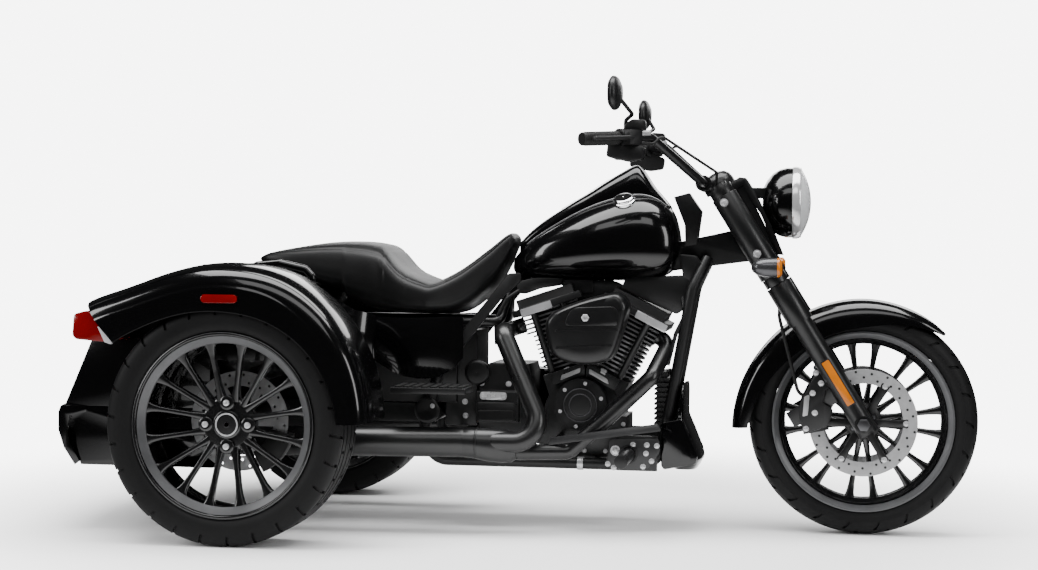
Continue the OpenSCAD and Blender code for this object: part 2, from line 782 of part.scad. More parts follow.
// Front end
leg_out = fork_y + leg_boss_out;
module front_axle() color("#3a3a3c") on_axle(front_axle_x, 0, front_axle_z) union() {
    cylinder(r = axle_r, h = 2*leg_out, center = true);
    for (side = [-1, 1]) translate([0, 0, side*(leg_out + nut_t/2 + seat_gap)])
        cylinder(r = nut_r, h = nut_t, center = true, $fn = 6);
    for (side = [-1, 1]) translate([0, 0, side*leg_out]) cylinder(r = axle_r, h = nut_t, center = true);
}
module fork_leg() difference() {
    union() {
        on_fork(-slider_low, fork_y) cylinder(r = slider_d/2, h = slider_low + slider_high);
        on_fork(slider_high, fork_y) cylinder(r = boot_r, h = boot_high - slider_high);
        on_fork(boot_high, fork_y) cylinder(r = fork_tube_d/2, h = fork_tube_top - boot_high);
        on_axle(front_axle_x, fork_y - leg_boss_in, front_axle_z) cylinder(r = leg_boss_r,
            h = leg_boss_in + leg_boss_out);
        on_fork(lug_s - lug_h/2, fork_y) translate([-caliper_lug_reach, lug_y - fork_y, 0])
            cube([caliper_lug_reach, lug_t, lug_h]);
        on_axle(fork_point(fender_boss_s)[0], front_fender_half + seat_gap, fork_point(fender_boss_s)[2])
            cylinder(r = fender_boss_r, h = fork_y - front_fender_half);
    }
    on_axle(front_axle_x, 0, front_axle_z) cylinder(r = axle_r + fit_gap, h = leg_out + overrun);
}
front_disc_y = front_hub_half + disc_t/2;
caliper_out = disc_t/2 + caliper_room + caliper_wall;
caliper_r_out = front_disc_d/2 + caliper_room + caliper_wall;
lug_y = front_disc_y + caliper_out + seat_gap;
caliper_lug_reach = caliper_r_out;
module fork_legs() color("#232325") both_sides() fork_leg();
module caliper_ring(r_in, r_out, sweep, disc_r) rotate_extrude(angle = sweep) difference() {
    translate([r_in, -caliper_out]) square([r_out - r_in, 2*caliper_out]);
    translate([r_in - overrun, -disc_t/2 - caliper_room])
        square([disc_r + caliper_room - r_in + overrun, disc_t + 2*caliper_room]);
}
module front_calipers() color("#2c2c2e") both_sides() on_axle(front_axle_x, front_disc_y, front_axle_z)
    rotate(-caliper_from - caliper_sweep) caliper_ring(caliper_r_in, caliper_r_out, caliper_sweep,
        front_disc_d/2);

clamp_leg_gap = fork_tube_d/2 + fit_gap;
module clamp_plate(stem_x) difference() {
    union() {
        for (side = [-1, 1]) translate([0, side*fork_y]) circle(clamp_boss_r);
        translate([stem_x, 0]) circle(stem_boss_r);
        translate([-clamp_web/2, -fork_y]) square([clamp_web, 2*fork_y]);
        translate([0, -stem_boss_r]) square([max(stem_x, clamp_web/2), 2*stem_boss_r]);
    }
    for (side = [-1, 1]) translate([0, side*fork_y]) circle(clamp_leg_gap);
}
// Where the steering axis stands ahead of the fork line at s, across the legs
function stem_ahead(s) =
    let (p = fork_point(s), q = [steer_foot_x - p[2]*tan(head_angle), 0, p[2]])
    (q[0] - p[0])*cos(head_angle)/cos(fork_angle - head_angle);
riser_top = front_place(bar_clamp_back, 0, bar_clamp_z);
lower_clamp_mid = lower_clamp_s + clamp_t/2;
upper_clamp_mid = upper_clamp_s + clamp_t/2;
module fork_clamps() color("#1f1f21") difference() {
    union() {
        on_fork(lower_clamp_s, 0) linear_extrude(clamp_t) clamp_plate(stem_ahead(lower_clamp_mid));
        on_fork(upper_clamp_s, 0) linear_extrude(clamp_t) clamp_plate(stem_ahead(upper_clamp_mid));
        on_steer(stem_low) cylinder(r = stem_d/2, h = stem_high - stem_low);
        on_fork(upper_clamp_s + clamp_t - fin_t, 0) rotate_extrude()
            polygon(concat([[0, 0]], [for (w = dome_shares) [dome_r*w[0], fin_t + dome_h*w[1]]], [[0, 0]]));
        on_fork(0, 0) across(-skirt_half, skirt_half) polygon([for (p = skirt_shares)
            [skirt_depth*p[0], skirt_low + skirt_h*p[1]]]);
        for (side = [-1, 1]) {
            rod(fork_point(upper_clamp_mid) + [0, side*riser_y, 0], riser_top + [0, side*riser_y, 0],
                riser_r);
            on_axle(riser_top[0], side*riser_y - riser_half, riser_top[2]) cylinder(r = riser_boss_r,
                h = 2*riser_half);
            translate([ear_from[0], side*ear_y - ear_t/2, ear_from[2] - ear_h/2])
                cube([lamp_x - lamp_depth/2 - ear_from[0], ear_t, ear_h]);
        }
    }
    facing_front(lamp_x - lamp_depth, 0, headlamp_z) rotate_extrude()
        polygon(concat([[0, -seat_gap]], [for (q = lamp_bowl(seat_gap)) [q[0], q[1] - seat_gap]], [[0,
            lamp_depth]]));
    on_axle(riser_top[0], -bar_clamp_half, riser_top[2]) cylinder(r = bar_d/2 + fit_gap,
        h = 2*bar_clamp_half);
}
ear_from = fork_point(upper_clamp_mid);
// Ends of the stem along the steering axis, inside both clamps
function stem_end(s) = (fork_point(s)[2] + stem_ahead(s)*sin(fork_angle))/cos(head_angle);
stem_low = stem_end(lower_clamp_mid);
stem_high = stem_end(upper_clamp_mid);
cover_low = lower_clamp_s + clamp_t + seat_gap;
cover_high = upper_clamp_s - seat_gap;
module fork_covers() color("#161617") both_sides() on_fork(cover_low, fork_y) difference() {
    cylinder(r = fork_cover_d/2, h = cover_high - cover_low);
    translate([0, 0, -overrun]) cylinder(r = fork_cover_d/2 - cover_wall,
        h = cover_high - cover_low + 2*overrun);
}
// Section of the front fender at one row: from the lip over the crown to the other lip
fender_arc_points = 10;
function fender_ring(r, skirt, half, angle) = [for (k = [0:fender_arc_points])
    let (a = 180*k/fender_arc_points, c = powered(cos(a), 0.7), s = powered(sin(a), 0.7))
    let (place = turn(r - skirt*(1 - s), angle))
    [front_axle_x + place[0], half*c, front_axle_z + place[1]]];
module front_fender() color("#101011") {
    table = rows(front_fender_shares, 22);
    outer = [for (w = table) fender_ring(front_fender_r*w[1], front_skirt*w[2], front_fender_half*w[3],
        mix(fender_from_angle, fender_to_angle, w[0]))];
    inner = [for (w = table) fender_ring(front_fender_r*w[1] - front_fender_wall,
        front_skirt*w[2] - front_fender_wall,
        front_fender_half*w[3] - front_fender_wall, mix(fender_from_angle, fender_to_angle, w[0]))];
    panel(turned(outer), turned(inner));
}
// Hose from the lower clamp's back down to the right caliper
function fork_place(s, ahead, y) = fork_point(s) + ahead*[cos(fork_angle), 0, sin(fork_angle)] + [0, y, 0];
hose_in_y = fork_y - boot_r - 2*hose_r;
hose_out_y = front_fender_half + 2*hose_r;
hose_start = fork_place(lower_clamp_s - seat_gap, -clamp_web/4, -hose_in_y);
hose_turn = fork_place(lower_clamp_s - hose_bend, -clamp_web/4, -hose_in_y);
hose_side = fork_place(lower_clamp_s - hose_drop, -boot_r - 2*hose_r, -hose_out_y);
function hose_radial(r) = front_place(-turn(r, hose_angle)[0], -hose_out_y, front_axle_z + turn(r,
    hose_angle)[1]);
module brake_hose() color("#141415") bent_tube([hose_start, hose_turn, hose_side,
    hose_radial(caliper_r_out + hose_bend),
    hose_radial(caliper_r_out + seat_gap)], hose_r, hose_bend);

// Headlamp
lamp_r = headlamp_d/2;
function lamp_bowl(gap) = [for (s = lamp_bowl_shares) [s[1]*lamp_r + gap, s[0]*lamp_depth]];
module headlamp_shell() color("#131314") facing_front(lamp_x - lamp_depth, 0, headlamp_z) rotate_extrude() {
    bowl = lamp_bowl(0);
    inner = lamp_bowl(-lamp_wall);
    polygon(concat([[0, 0]], bowl, [for (i = [len(inner) - 1:-1:0]) [inner[i][0], max(inner[i][1],
        lamp_wall)]],
        [[0, lamp_wall]]));
}
module headlamp_ring() color("#c9cacc") facing_front(lamp_x + seat_gap, 0, headlamp_z) rotate_extrude()
    polygon([[lamp_r - lamp_ring_wall, 0], [lamp_r, 0], [lamp_r, lamp_ring_t/2],
        [lamp_r - lamp_ring_wall/2, lamp_ring_t],
        [lamp_r - lamp_ring_wall, lamp_ring_t]]);
lens_r = lamp_r - lamp_ring_wall - fit_gap;
lens_ball_r = (lens_r*lens_r + lamp_dome*lamp_dome)/(2*lamp_dome);
module headlamp_lens() color("#e8eef2", 0.5) facing_front(lamp_x + seat_gap, 0, headlamp_z) intersection() {
    cylinder(r = lens_r, h = lamp_ring_t + lamp_dome);
    translate([0, 0, lamp_ring_t + lamp_dome - lens_ball_r]) sphere(lens_ball_r);
}

// Handlebar, in order from the right end to the left end
function bar_side(side) = [front_place(bar_end_back, side*bar_width/2, bar_end_z),
    front_place(bar_knee_back, side*bar_knee_half, bar_knee_z), front_place(bar_clamp_back,
        side*bar_clamp_half, bar_clamp_z)];
right_bar = bar_side(-1);
left_bar = bar_side(1);
module handlebar() color("#1a1a1b")
    bent_tube(concat(right_bar, [left_bar[2], left_bar[1], left_bar[0]]), bar_d/2, bar_bend);
bar_way = unit(left_bar[1] - left_bar[0]);
bar_front = unit(cross(bar_way, [0, 0, -1]));
module on_left_bar(s) along(left_bar[0] + bar_way*s, left_bar[1]) children();
module grips() color("#111112") both_sides() on_left_bar(0) difference() {
    cylinder(r = grip_d/2, h = grip_length);
    translate([0, 0, -overrun]) cylinder(r = bar_d/2 + fit_gap, h = grip_length + 2*overrun);
}
switch_s = grip_length + switch_gap;
switch_mid = left_bar[0] + bar_way*(switch_s + switch_w/2);
lever_root = switch_mid + bar_front*(lever_reach*0.6);
lever_tip = left_bar[0] + bar_way*(switch_s + switch_w/2 - lever_length) + bar_front*lever_reach;
module hand_controls() color("#1c1c1d") both_sides() difference() {
    union() {
        on_left_bar(switch_s) cylinder(r = switch_r, h = switch_w);
        bent_tube([switch_mid, lever_root, lever_tip], lever_r, lever_r);
        along(switch_mid, switch_mid + bar_front) translate([-reservoir_w/2, -reservoir_h/2, 0])
            cube([reservoir_w, reservoir_h, reservoir_d]);
    }
    on_left_bar(switch_s - overrun) cylinder(r = bar_d/2 + fit_gap, h = switch_w + 2*overrun);
}
mirror_foot = switch_mid + [0, 0, switch_r + seat_gap];
mirror_knee = switch_mid + [mirror_knee_fwd, mirror_knee_out, mirror_knee_rise];
mirror_middle = switch_mid + [-mirror_back, mirror_out, mirror_rise];
mirror_rings_share = [[0, 0.72], [0.3, 1], [0.7, 0.9], [1, 0.45]];
module mirrors() color("#151516") both_sides() union() {
    mirror_shell();
    bent_tube([mirror_foot, mirror_foot + [0, 0, mirror_stem_r*4], mirror_knee, mirror_middle],
        mirror_stem_r, mirror_stem_r*2);
}
module mirror_shell() loft([for (w = rows(mirror_rings_share, 6))
    [for (k = [0:19]) let (a = 360*k/20) mirror_middle + [mix(-mirror_half_x, mirror_half_x,
        w[0]) - seat_gap,
        mirror_half_y*w[1]*powered(cos(a), 0.8), mirror_half_z*w[1]*powered(sin(a), 0.8)]]]);

// Turn signals
signal_place = fork_point(signal_s);
signal_body = signal_length - signal_lens_t;
module turn_signals() color("#3c3d40") both_sides() union() {
    facing_front(signal_place[0] - signal_length/2, signal_y, signal_place[2]) rotate_extrude()
        polygon(concat([[0, 0]], [for (s = signal_shares) [s[1]*signal_r, s[0]*signal_body]], [[0,
            signal_body]]));
    on_axle(signal_place[0], fork_y + fork_cover_d/2 + seat_gap, signal_place[2])
        cylinder(r = signal_stalk_r, h = signal_y - fork_y - fork_cover_d/2 - seat_gap);
}
module turn_signal_lenses() color("#d9822b") both_sides()
    facing_front(signal_place[0] - signal_length/2 + signal_body, signal_y,
        signal_place[2]) rotate_extrude()
        polygon([[0, 0], [signal_r, 0], [signal_r, signal_lens_t/2], [signal_r*0.7, signal_lens_t], [0,
            signal_lens_t]]);

// Frame
module frame_spine() color("#18181a") difference() {
    union() {
        on_steer(head_low) cylinder(r = head_tube_d/2, h = head_high - head_low);
        across(-spine_w/2, spine_w/2) polygon(spine_outline(0));
        across(-neck_half, neck_half) polygon([for (p = neck_shares)
            [front_axle_x - neck_back + neck_length*p[0], neck_low + neck_h*p[1]]]);
        both_sides() bent_tube([front_place(spine_rear_back, spine_w/2 - seat_rail_r,
            mix(spine_rear_low_z, spine_rear_z, 0.5)),
            front_place(spine_rear_back + seat_rail_r, seat_rail_y - 2*seat_rail_r, seat_rail_z),
            front_place(upright_back, seat_rail_y, seat_rail_z),
            [rear_axle_x + deck_front_over + seat_gap, seat_rail_y, seat_rail_z]], seat_rail_r,
                2*seat_rail_r);
    }
    on_steer(head_low - overrun) cylinder(r = stem_d/2 + run_gap, h = head_high - head_low + 2*overrun);
}
head_mid_x = steer_point((head_low + head_high)/2)[0];
function spine_outline(gap) = [[head_mid_x, spine_front_z + gap], [front_axle_x - spine_mid_back,
    spine_mid_z + gap],
    [front_axle_x - spine_knee_back, spine_knee_z + gap], [front_axle_x - spine_rear_back - gap,
        spine_rear_z + gap],
    [front_axle_x - spine_rear_back - gap, spine_rear_low_z], [front_axle_x - spine_knee_back,
        spine_knee_low_z],
    [front_axle_x - spine_mid_back, spine_mid_low_z], [head_mid_x + head_tube_d/4, spine_front_low_z]];
rail_front_back = down_low_back + rail_front_run;
cross_from_x = front_axle_x - rail_front_back - rail_bend;
cross_to_x = front_axle_x - rail_rear_back + rail_bend;
module frame_cradle() color("#18181a") union() {
    both_sides() bent_tube([front_place(down_start_back, spine_w/2 + rail_r + seat_gap, down_start_z),
        front_place(down_top_back, down_y, down_top_z),
        front_place(down_low_back, down_y, down_low_z), front_place(rail_front_back, rail_y, rail_z),
        front_place(rail_rear_back, rail_y, rail_z), front_place(rail_rear_back + rail_bend/2, rail_y,
            rail_rear_z),
        front_place(upright_back, rail_y, upright_z),
        front_place(upright_back, rail_y, seat_rail_z - seat_rail_r - seat_gap)], rail_r, rail_bend);
    for (t = cross_backs_share) on_axle(mix(cross_from_x, cross_to_x, t), -rail_y,
        rail_z) cylinder(r = rail_r, h = 2*rail_y);
}

// Engine
crank = front_place(crank_back, 0, crank_z);
front_lean = vee_lean + vee_angle/2;
rear_lean = vee_lean - vee_angle/2;
module on_cylinder(lean, s) translate(crank) rotate([0, lean, 0]) translate([0, 0, s]) children();
// Half space on one side of the vee's middle plane, which parts the two cylinders
module vee_half(side) translate(crank) rotate([0, vee_lean, 0])
    translate([side > 0 ? vee_gap/2 : -rocker_top_s - vee_gap/2, -rocker_top_s/2,
        0]) cube([rocker_top_s, rocker_top_s, rocker_top_s]);
case_bottom = rail_z + rail_r + seat_gap;
module engine_case() color("#242426") union() {
    on_axle(crank[0], -case_half, crank[2]) cylinder(r = case_floor, h = 2*case_half);
    translate([crank[0] - case_length/2, -case_half, case_bottom]) cube([case_length, 2*case_half,
        crank_z - case_bottom]);
    for (side = [-1, 1]) let (lean = vee_lean + side*vee_angle/2) intersection() {
        on_cylinder(lean, 0) union() {
            translate([-deck_w/2, -case_half + fin_t, 0]) cube([deck_w, 2*case_half - 2*fin_t,
                deck_s - seat_gap]);
            translate([-deck_w/3, -pushrod_y - 2*pushrod_r, deck_s - tappet_h])
                cube([2*deck_w/3, 3*pushrod_r, tappet_h - seat_gap]);
        }
        vee_half(side);
    }
    on_axle(crank[0] - cam_back, -case_half - cam_t, crank[2] + cam_rise) cylinder(r = cam_r,
        h = cam_t + fin_t);
    on_axle(crank[0] - cam_back, -case_half - cam_t - cam_ring_t,
        crank[2] + cam_rise) cylinder(r = cam_ring_r, h = cam_ring_t + fin_t);
}
fin_pitch = (barrel_top_s - deck_s)/fin_count;
function fin_outline(n, pitch, thick, core_r, rim_r) = concat([[0, 0]], [for (k = [0:n - 1])
    each [[core_r, k*pitch], [core_r, k*pitch + pitch - thick], [rim_r, k*pitch + pitch - thick],
        [rim_r, k*pitch + pitch]]],
    [[0, n*pitch]]);
head_fins = 5;
head_pitch = (head_top_s - barrel_top_s - seat_gap)/head_fins;
module cylinder_body(lean, side) intersection() {
    on_cylinder(lean, 0) union() {
        translate([0, 0, deck_s]) rotate_extrude() polygon(fin_outline(fin_count, fin_pitch, fin_t,
            barrel_r, fin_d/2));
        for (k = [0:head_fins - 1]) translate([0, 0, barrel_top_s + k*head_pitch]) {
            translate([-barrel_r, -barrel_r, -overrun]) cube([2*barrel_r, 2*barrel_r,
                head_pitch + overrun]);
            translate([-head_half, -head_half_y, head_pitch - fin_t]) cube([2*head_half, 2*head_half_y,
                fin_t]);
        }
    }
    vee_half(side);
}
module cylinders() color("#1e1e20") {
    cylinder_body(front_lean, 1);
    cylinder_body(rear_lean, -1);
}
module rocker_box(lean) on_cylinder(lean, 0) union() {
    translate([-rocker_half, -rocker_half_y, head_top_s]) cube([2*rocker_half, 2*rocker_half_y,
        rocker_step]);
    translate([-rocker_half*rocker_lid_share, -rocker_half_y*rocker_lid_share, head_top_s + rocker_step])
        cube([2*rocker_half*rocker_lid_share, 2*rocker_half_y*rocker_lid_share,
            rocker_top_s - head_top_s - rocker_step]);
    for (side = [-1, 1]) rod([side*deck_w*pushrod_lean_share, -pushrod_y, deck_s],
        [side*deck_w*pushrod_lean_share, -pushrod_y, head_top_s], pushrod_r);
}
module rocker_boxes() color("#202022") {
    rocker_box(front_lean);
    rocker_box(rear_lean);
}
// Half width of the wedge between the heads at height h along the vee's middle
function intake_half(h) = h*tan(vee_angle/2) - head_half/cos(vee_angle/2) - seat_gap;
module air_cleaner() color("#1a1a1b") union() {
    translate(crank) rotate([0, vee_lean, 0]) across(-cleaner_y - fin_t, intake_half_y)
        polygon([[-intake_half(intake_low), intake_low], [intake_half(intake_low), intake_low],
            [intake_half(intake_high), intake_high], [-intake_half(intake_high), intake_high]]);
    translate(front_place(cleaner_back, -cleaner_y, cleaner_low)) rotate([90, 0,
        0]) loft([for (w = cleaner_ring_shares)
        [for (p = cleaner_outline_shares) [cleaner_length*mix(0.5, p[0], w[1]), cleaner_h*mix(0.5,
            p[1], w[1]), cleaner_t*w[0]]]]);
}
gearbox_front_x = crank[0] - case_length/2 - seat_gap;
module gearbox() color("#232325") union() {
    across(-gearbox_half, gearbox_half) polygon([[gearbox_front_x - gearbox_length,
        gearbox_low + gearbox_corner],
        [gearbox_front_x - gearbox_length + gearbox_corner, gearbox_low], [gearbox_front_x, gearbox_low],
        [gearbox_front_x, crank_z], [gearbox_front_x - gearbox_corner, gearbox_high],
        [gearbox_front_x - gearbox_length + gearbox_corner, gearbox_high],
        [gearbox_front_x - gearbox_length, gearbox_high - gearbox_corner]]);
    translate([gearbox_front_x - gearbox_length, -gearbox_half - gear_cover_t, gear_cover_low])
        cube([gear_cover_l, gear_cover_t + fin_t, gear_cover_high - gear_cover_low]);
}
primary_y = gearbox_half + seat_gap;
clutch = crank + [-clutch_back, 0, clutch_rise];
module primary_cover() color("#1b1b1c") across(primary_y, primary_y + primary_t) union() {
    translate([crank[0], crank[2]]) circle(primary_r);
    translate([clutch[0], clutch[2]]) circle(clutch_r);
    polygon([[crank[0], crank[2] + primary_r], [clutch[0], clutch[2] + clutch_r], [clutch[0],
        clutch[2] - clutch_r], [crank[0], crank[2] - primary_r]]);
}

// Exhaust
port_s = 296;
port_y = 60;
port_reach = 38;
header_y = 196;
header_r = header_d/2;
function port(lean, side, reach) = crank + [0, -port_y, 0]
    + port_s*[sin(lean), 0, cos(lean)] + side*(head_half + seat_gap + reach)*[cos(lean), 0, -sin(lean)];
muffler_start = front_place(muffler_start_back, -muffler_y, muffler_z);
muffler_end = front_place(muffler_end_back, -muffler_y, muffler_end_z);
muffler_way = unit(muffler_end - muffler_start);
rear_corner = muffler_start - muffler_way*(muffler_start_back - rear_low_back);
module exhaust_headers() color("#19191a") union() {
    bent_tube([port(front_lean, 1, 0), port(front_lean, 1, port_reach), front_place(front_header_back,
        -header_y + header_r, front_header_z), front_place(front_low_back, -header_y, front_low_z),
        front_place(front_run_back, -header_y - header_r/2, muffler_z - front_run_drop),
        muffler_start + [collector_length, header_r, -front_run_drop],
        muffler_start + [collector_inset, 0, -collector_rise]], header_r, header_bend);
    bent_tube([port(rear_lean, -1, 0), port(rear_lean, -1, port_reach), front_place(rear_header_back,
        -header_y + header_r, rear_header_z), rear_corner, muffler_start], header_r,
        [header_bend, header_bend, sweep_bend]);
}
muffler_length = norm(muffler_end - muffler_start);
// Pipe across behind the gearbox that feeds the left muffler
crossover = muffler_start + muffler_way*crossover_run;
module crossover_pipe() color("#19191a") difference() {
    on_axle(crossover[0], crossover[1], crossover[2]) cylinder(r = crossover_r, h = 2*muffler_y);
    both_sides() along(muffler_start, muffler_end) cylinder(r = muffler_d/2 + seat_gap, h = muffler_length);
}
module mufflers() color("#161617") both_sides() muffler();
module muffler() along(muffler_start + muffler_way*seat_gap, muffler_end) rotate_extrude()
    polygon([[0, 0], [muffler_neck_r, 0], [muffler_d/2, muffler_neck], [muffler_d/2,
        muffler_length - muffler_neck],
        [muffler_tip_r, muffler_length], [muffler_tip_r - fin_t, muffler_length],
            [muffler_tip_r - fin_t, muffler_length - muffler_neck],
        [0, muffler_length - muffler_neck]]);

// Chin fairing: rings rise from its foot
chin_x = front_axle_x - down_low_back + rail_r + seat_gap;
// Bosses at the chin fairing's back that meet the down tubes
down_lean = atan((down_low_back - down_top_back)/(down_top_z - down_low_z));
chin_boss_share = (chin_boss_z + chin_boss_r - down_low_z)/(down_top_z - down_low_z);
chin_boss_x = front_axle_x - mix(down_low_back, down_top_back, chin_boss_share)
    + rail_r/cos(down_lean) + seat_gap;
module chin_fairing() color("#131314") union() {
    loft([for (w = rows(chin_shares, chin_rings))
        [for (k = [0:chin_sides - 1])
            let (a = 360*k/chin_sides, c = powered(cos(a), 0.6), s = powered(sin(a), 0.6))
            [chin_x + chin_depth*mix(w[2], w[3], (c + 1)/2), chin_half*w[1]*s, chin_low + chin_h*w[0]]]]);
    both_sides() facing_front(chin_boss_x, down_y, chin_boss_z) cylinder(r = chin_boss_r, h = chin_depth/4);
}

// Tank, console and seat
tank_rear_x = front_axle_x - tank_rear_back;
tank_length = tank_rear_back - tank_front_back;
function tank_z(share) = tank_low_z + tank_h*share;
module fuel_tank() color("#0f0f10") difference() {
    loft([for (w = tank_table) section(tank_rear_x + tank_length*w[0], tank_w/2*w[1], tank_z(w[2]),
        tank_z(w[3]),
        tank_z(w[4]), tank_square_share, tank_sides)]);
    across(-spine_w/2 - tunnel_side, spine_w/2 + tunnel_side) polygon(spine_tunnel);
}
spine_tunnel = concat([for (i = [0:3]) spine_outline(seat_gap)[i]],
    [[front_axle_x - spine_rear_back - tunnel_side, tank_low_z - tank_h],
    [front_axle_x, tank_low_z - tank_h]]);
// Top of the tank at a place
tank_table = rows(tank_shares, tank_rings);
function tank_top(x, y) = let (w = row_of(tank_table, min(max((x - tank_rear_x)/tank_length, 0), 1)))
    let (c = min(abs(y)/(tank_w/2*w[1]), 1))
    mix(tank_z(w[3]), tank_z(w[4]), pow(1 - pow(c, 2/tank_square_share), tank_square_share/2));
console_rear_x = front_axle_x - console_rear_back;
console_length = console_rear_back - console_front_back;
// Ring of the console, whose floor follows the tank's top
function console_ring(x, half, high) = let (rim = tank_top(x, half) + console_seat, top = tank_top(x, 0) + high)
    concat([for (k = [0:console_sides - 1]) let (y = half*(2*k/(console_sides - 1) - 1))
        [x, y, tank_top(x, y) + console_seat]],
        [for (k = [1:console_arc]) let (a = 180*k/(console_arc + 1), y = half*powered(cos(a), 0.7))
            [x, y, mix(rim, top, powered(sin(a), 0.6))]]);
console_table = rows(console_shares, console_rings);
console_stations = concat([0], [for (w = tank_table)
    let (s = (tank_rear_x + tank_length*w[0] - console_rear_x)/console_length)
    if (s > console_end_share && s < 1 - console_end_share) s], [1]);
module tank_console() color("#121213") loft([for (s = console_stations) let (w = row_of(console_table, s))
    console_ring(console_rear_x + console_length*s, console_half*w[1], console_h*w[2])]);
seat_rear_x = rear_axle_x - seat_rear_over;
seat_length = front_axle_x - seat_front_back - seat_rear_x;
deck_slope = (deck_front_z - deck_rear_z)/(deck_front_over + deck_rear_over);
function deck_z(x) = deck_rear_z + (x - rear_axle_x + deck_rear_over)*deck_slope;
function seat_z(share) = seat_low_z + seat_rise*share;
function seat_base(x, share) = x < rear_axle_x + deck_front_over + seat_base_run ? max(seat_z(share),
    deck_z(x) + seat_gap) : seat_z(share);
module seat() color("#141415") loft([for (w = rows(seat_shares, seat_rings))
    let (x = seat_rear_x + seat_length*w[0], low = seat_base(x, w[2]), high = max(seat_z(w[3]),
        low + fin_t))
    section(x, seat_w/2*w[1], low, mix(low, high, 0.5), high, seat_square_share, seat_sides)]);

// Side covers
cover_rear_x = rear_axle_x + cover_rear_over;
cover_length = front_axle_x - cover_front_back - cover_rear_x;
function cover_out(w, t) = cover_y - cover_bulge + cover_bulge*w[3]*sin(180*mix(0.2, 0.8, t));
function cover_sheet(inset) = [for (w = rows(cover_shares, cover_columns)) [for (j = [0:cover_rows])
    let (t = j/cover_rows)
    [cover_rear_x + cover_length*w[0], cover_out(w, t) - inset, cover_low_z + cover_h*mix(w[1], w[2], t)]]];
post_row = cover_shares[2];
post_from = seat_rail_y + seat_rail_r + seat_gap;
post_height_share = ((seat_rail_z - cover_low_z)/cover_h - post_row[1])/(post_row[2] - post_row[1]);
module side_covers() color("#0f0f10") both_sides() union() {
    panel(cover_sheet(0), cover_sheet(cover_t));
    on_axle(cover_rear_x + cover_length*post_row[0], post_from, seat_rail_z)
        cylinder(r = cover_post_r, h = cover_out(post_row, post_height_share) - cover_t/2 - post_from);
}

// Rear body with the trunk
function body_point(over, z) = [rear_axle_x - over, z];
lid_front_over = deck_rear_over + lid_gap;
trunk_top_z = deck_rear_z - lid_drop;
hinge_r = lid_hinge_d/2;
hinge = [rear_axle_x - lid_front_over - hinge_r, 0, deck_rear_z - hinge_r];
ear_in = lid_w/2 + hinge_side_gap;
module hinge_ears() both_sides() union() {
    translate([hinge[0] - hinge_r, ear_in, trunk_top_z - 2*body_wall]) cube([2*hinge_r, hinge_ear,
        hinge[2] - trunk_top_z + 2*body_wall]);
    on_axle(hinge[0], ear_in, hinge[2]) cylinder(r = hinge_r, h = hinge_ear);
    on_axle(hinge[0], ear_in - hinge_pin, hinge[2]) cylinder(r = hinge_pin_r, h = hinge_pin + hinge_ear/2);
}
module rear_body() color("#101011") union() {
    hinge_ears();
    body_tub();
}
module body_tub() difference() {
    union() {
        across(-body_half, body_half) polygon([body_point(body_rear_over, body_floor_z),
            body_point(body_sill_over, body_sill_z),
            body_point(body_lip_over, body_lip_z), body_point(deck_rear_over, trunk_top_z),
                body_point(deck_rear_over, deck_rear_z),
            body_point(-deck_front_over, deck_front_z), body_point(-deck_front_over, deck_low_z),
                body_point(deck_rear_over - body_wall, deck_low_z),
            body_point(deck_rear_over - body_wall, body_floor_z)]);
    }
    across(-lid_w/2 + body_wall, lid_w/2 - body_wall) polygon([body_point(body_rear_over - 4*body_wall,
        body_floor_z + body_wall), body_point(body_rear_over - 4*body_wall, body_floor_z + 3*body_wall),
        body_point(body_sill_over - 3*body_wall, body_sill_z + body_wall),
            body_point(body_sill_over - 3*body_wall, deck_rear_z + lid_drop),
        body_point(deck_rear_over + body_wall, deck_rear_z + lid_drop),
            body_point(deck_rear_over + body_wall, body_floor_z + body_wall)]);
    across(-body_half + body_wall, body_half - body_wall)
        polygon([body_point(deck_rear_over - 2*body_wall, deck_low_z - overrun),
        body_point(deck_rear_over - 2*body_wall, deck_rear_z - 2*body_wall),
            body_point(-deck_front_over + body_wall, deck_front_z - 2*body_wall),
        body_point(-deck_front_over + body_wall, deck_low_z - overrun)]);
}
module trunk_lid() color("#101011") difference() {
    union() {
        lid_panel();
        on_axle(hinge[0], -lid_w/2, hinge[2]) cylinder(r = hinge_r, h = lid_w);
    }
    both_sides() on_axle(hinge[0], lid_w/2 - hinge_pin, hinge[2]) cylinder(r = hinge_pin_r + run_gap,
        h = hinge_pin + overrun);
}
module lid_panel() across(-lid_w/2, lid_w/2) polygon([body_point(lid_front_over + hinge_r,
    hinge[2] - hinge_r + seat_gap),
    body_point(body_lip_over, body_lip_z + seat_gap), body_point(body_sill_over + seat_gap,
        body_sill_z + lid_t),
    body_point(body_sill_over + lid_t, body_sill_z + lid_t), body_point(body_lip_over + lid_t,
        body_lip_z + lid_t),
    body_point(lid_front_over + hinge_r, hinge[2] + hinge_r)]);

// Rear fenders: sheets of points round the wheel
fender_in_y = body_half + seat_gap;
function fender_sheet(inset) = [for (w = rows(fender_shares, fender_steps))
    let (angle = mix(arch_from_angle, arch_to_angle, w[0]), low = lip_r*w[2], high = crown_r*w[1] - inset)
    [for (s = fender_section_shares) let (place = turn(mix(low, high, s[1]), angle))
        [rear_axle_x + place[0], mix(fender_in_y + inset, fender_span/2 - inset, s[0]),
            rear_axle_z + place[1]]]];
module rear_fender_left() color("#0f0f10") panel(turned(fender_sheet(0)),
    turned(fender_sheet(fender_wall)));
module rear_fender_right() mirror([0, 1, 0]) rear_fender_left();

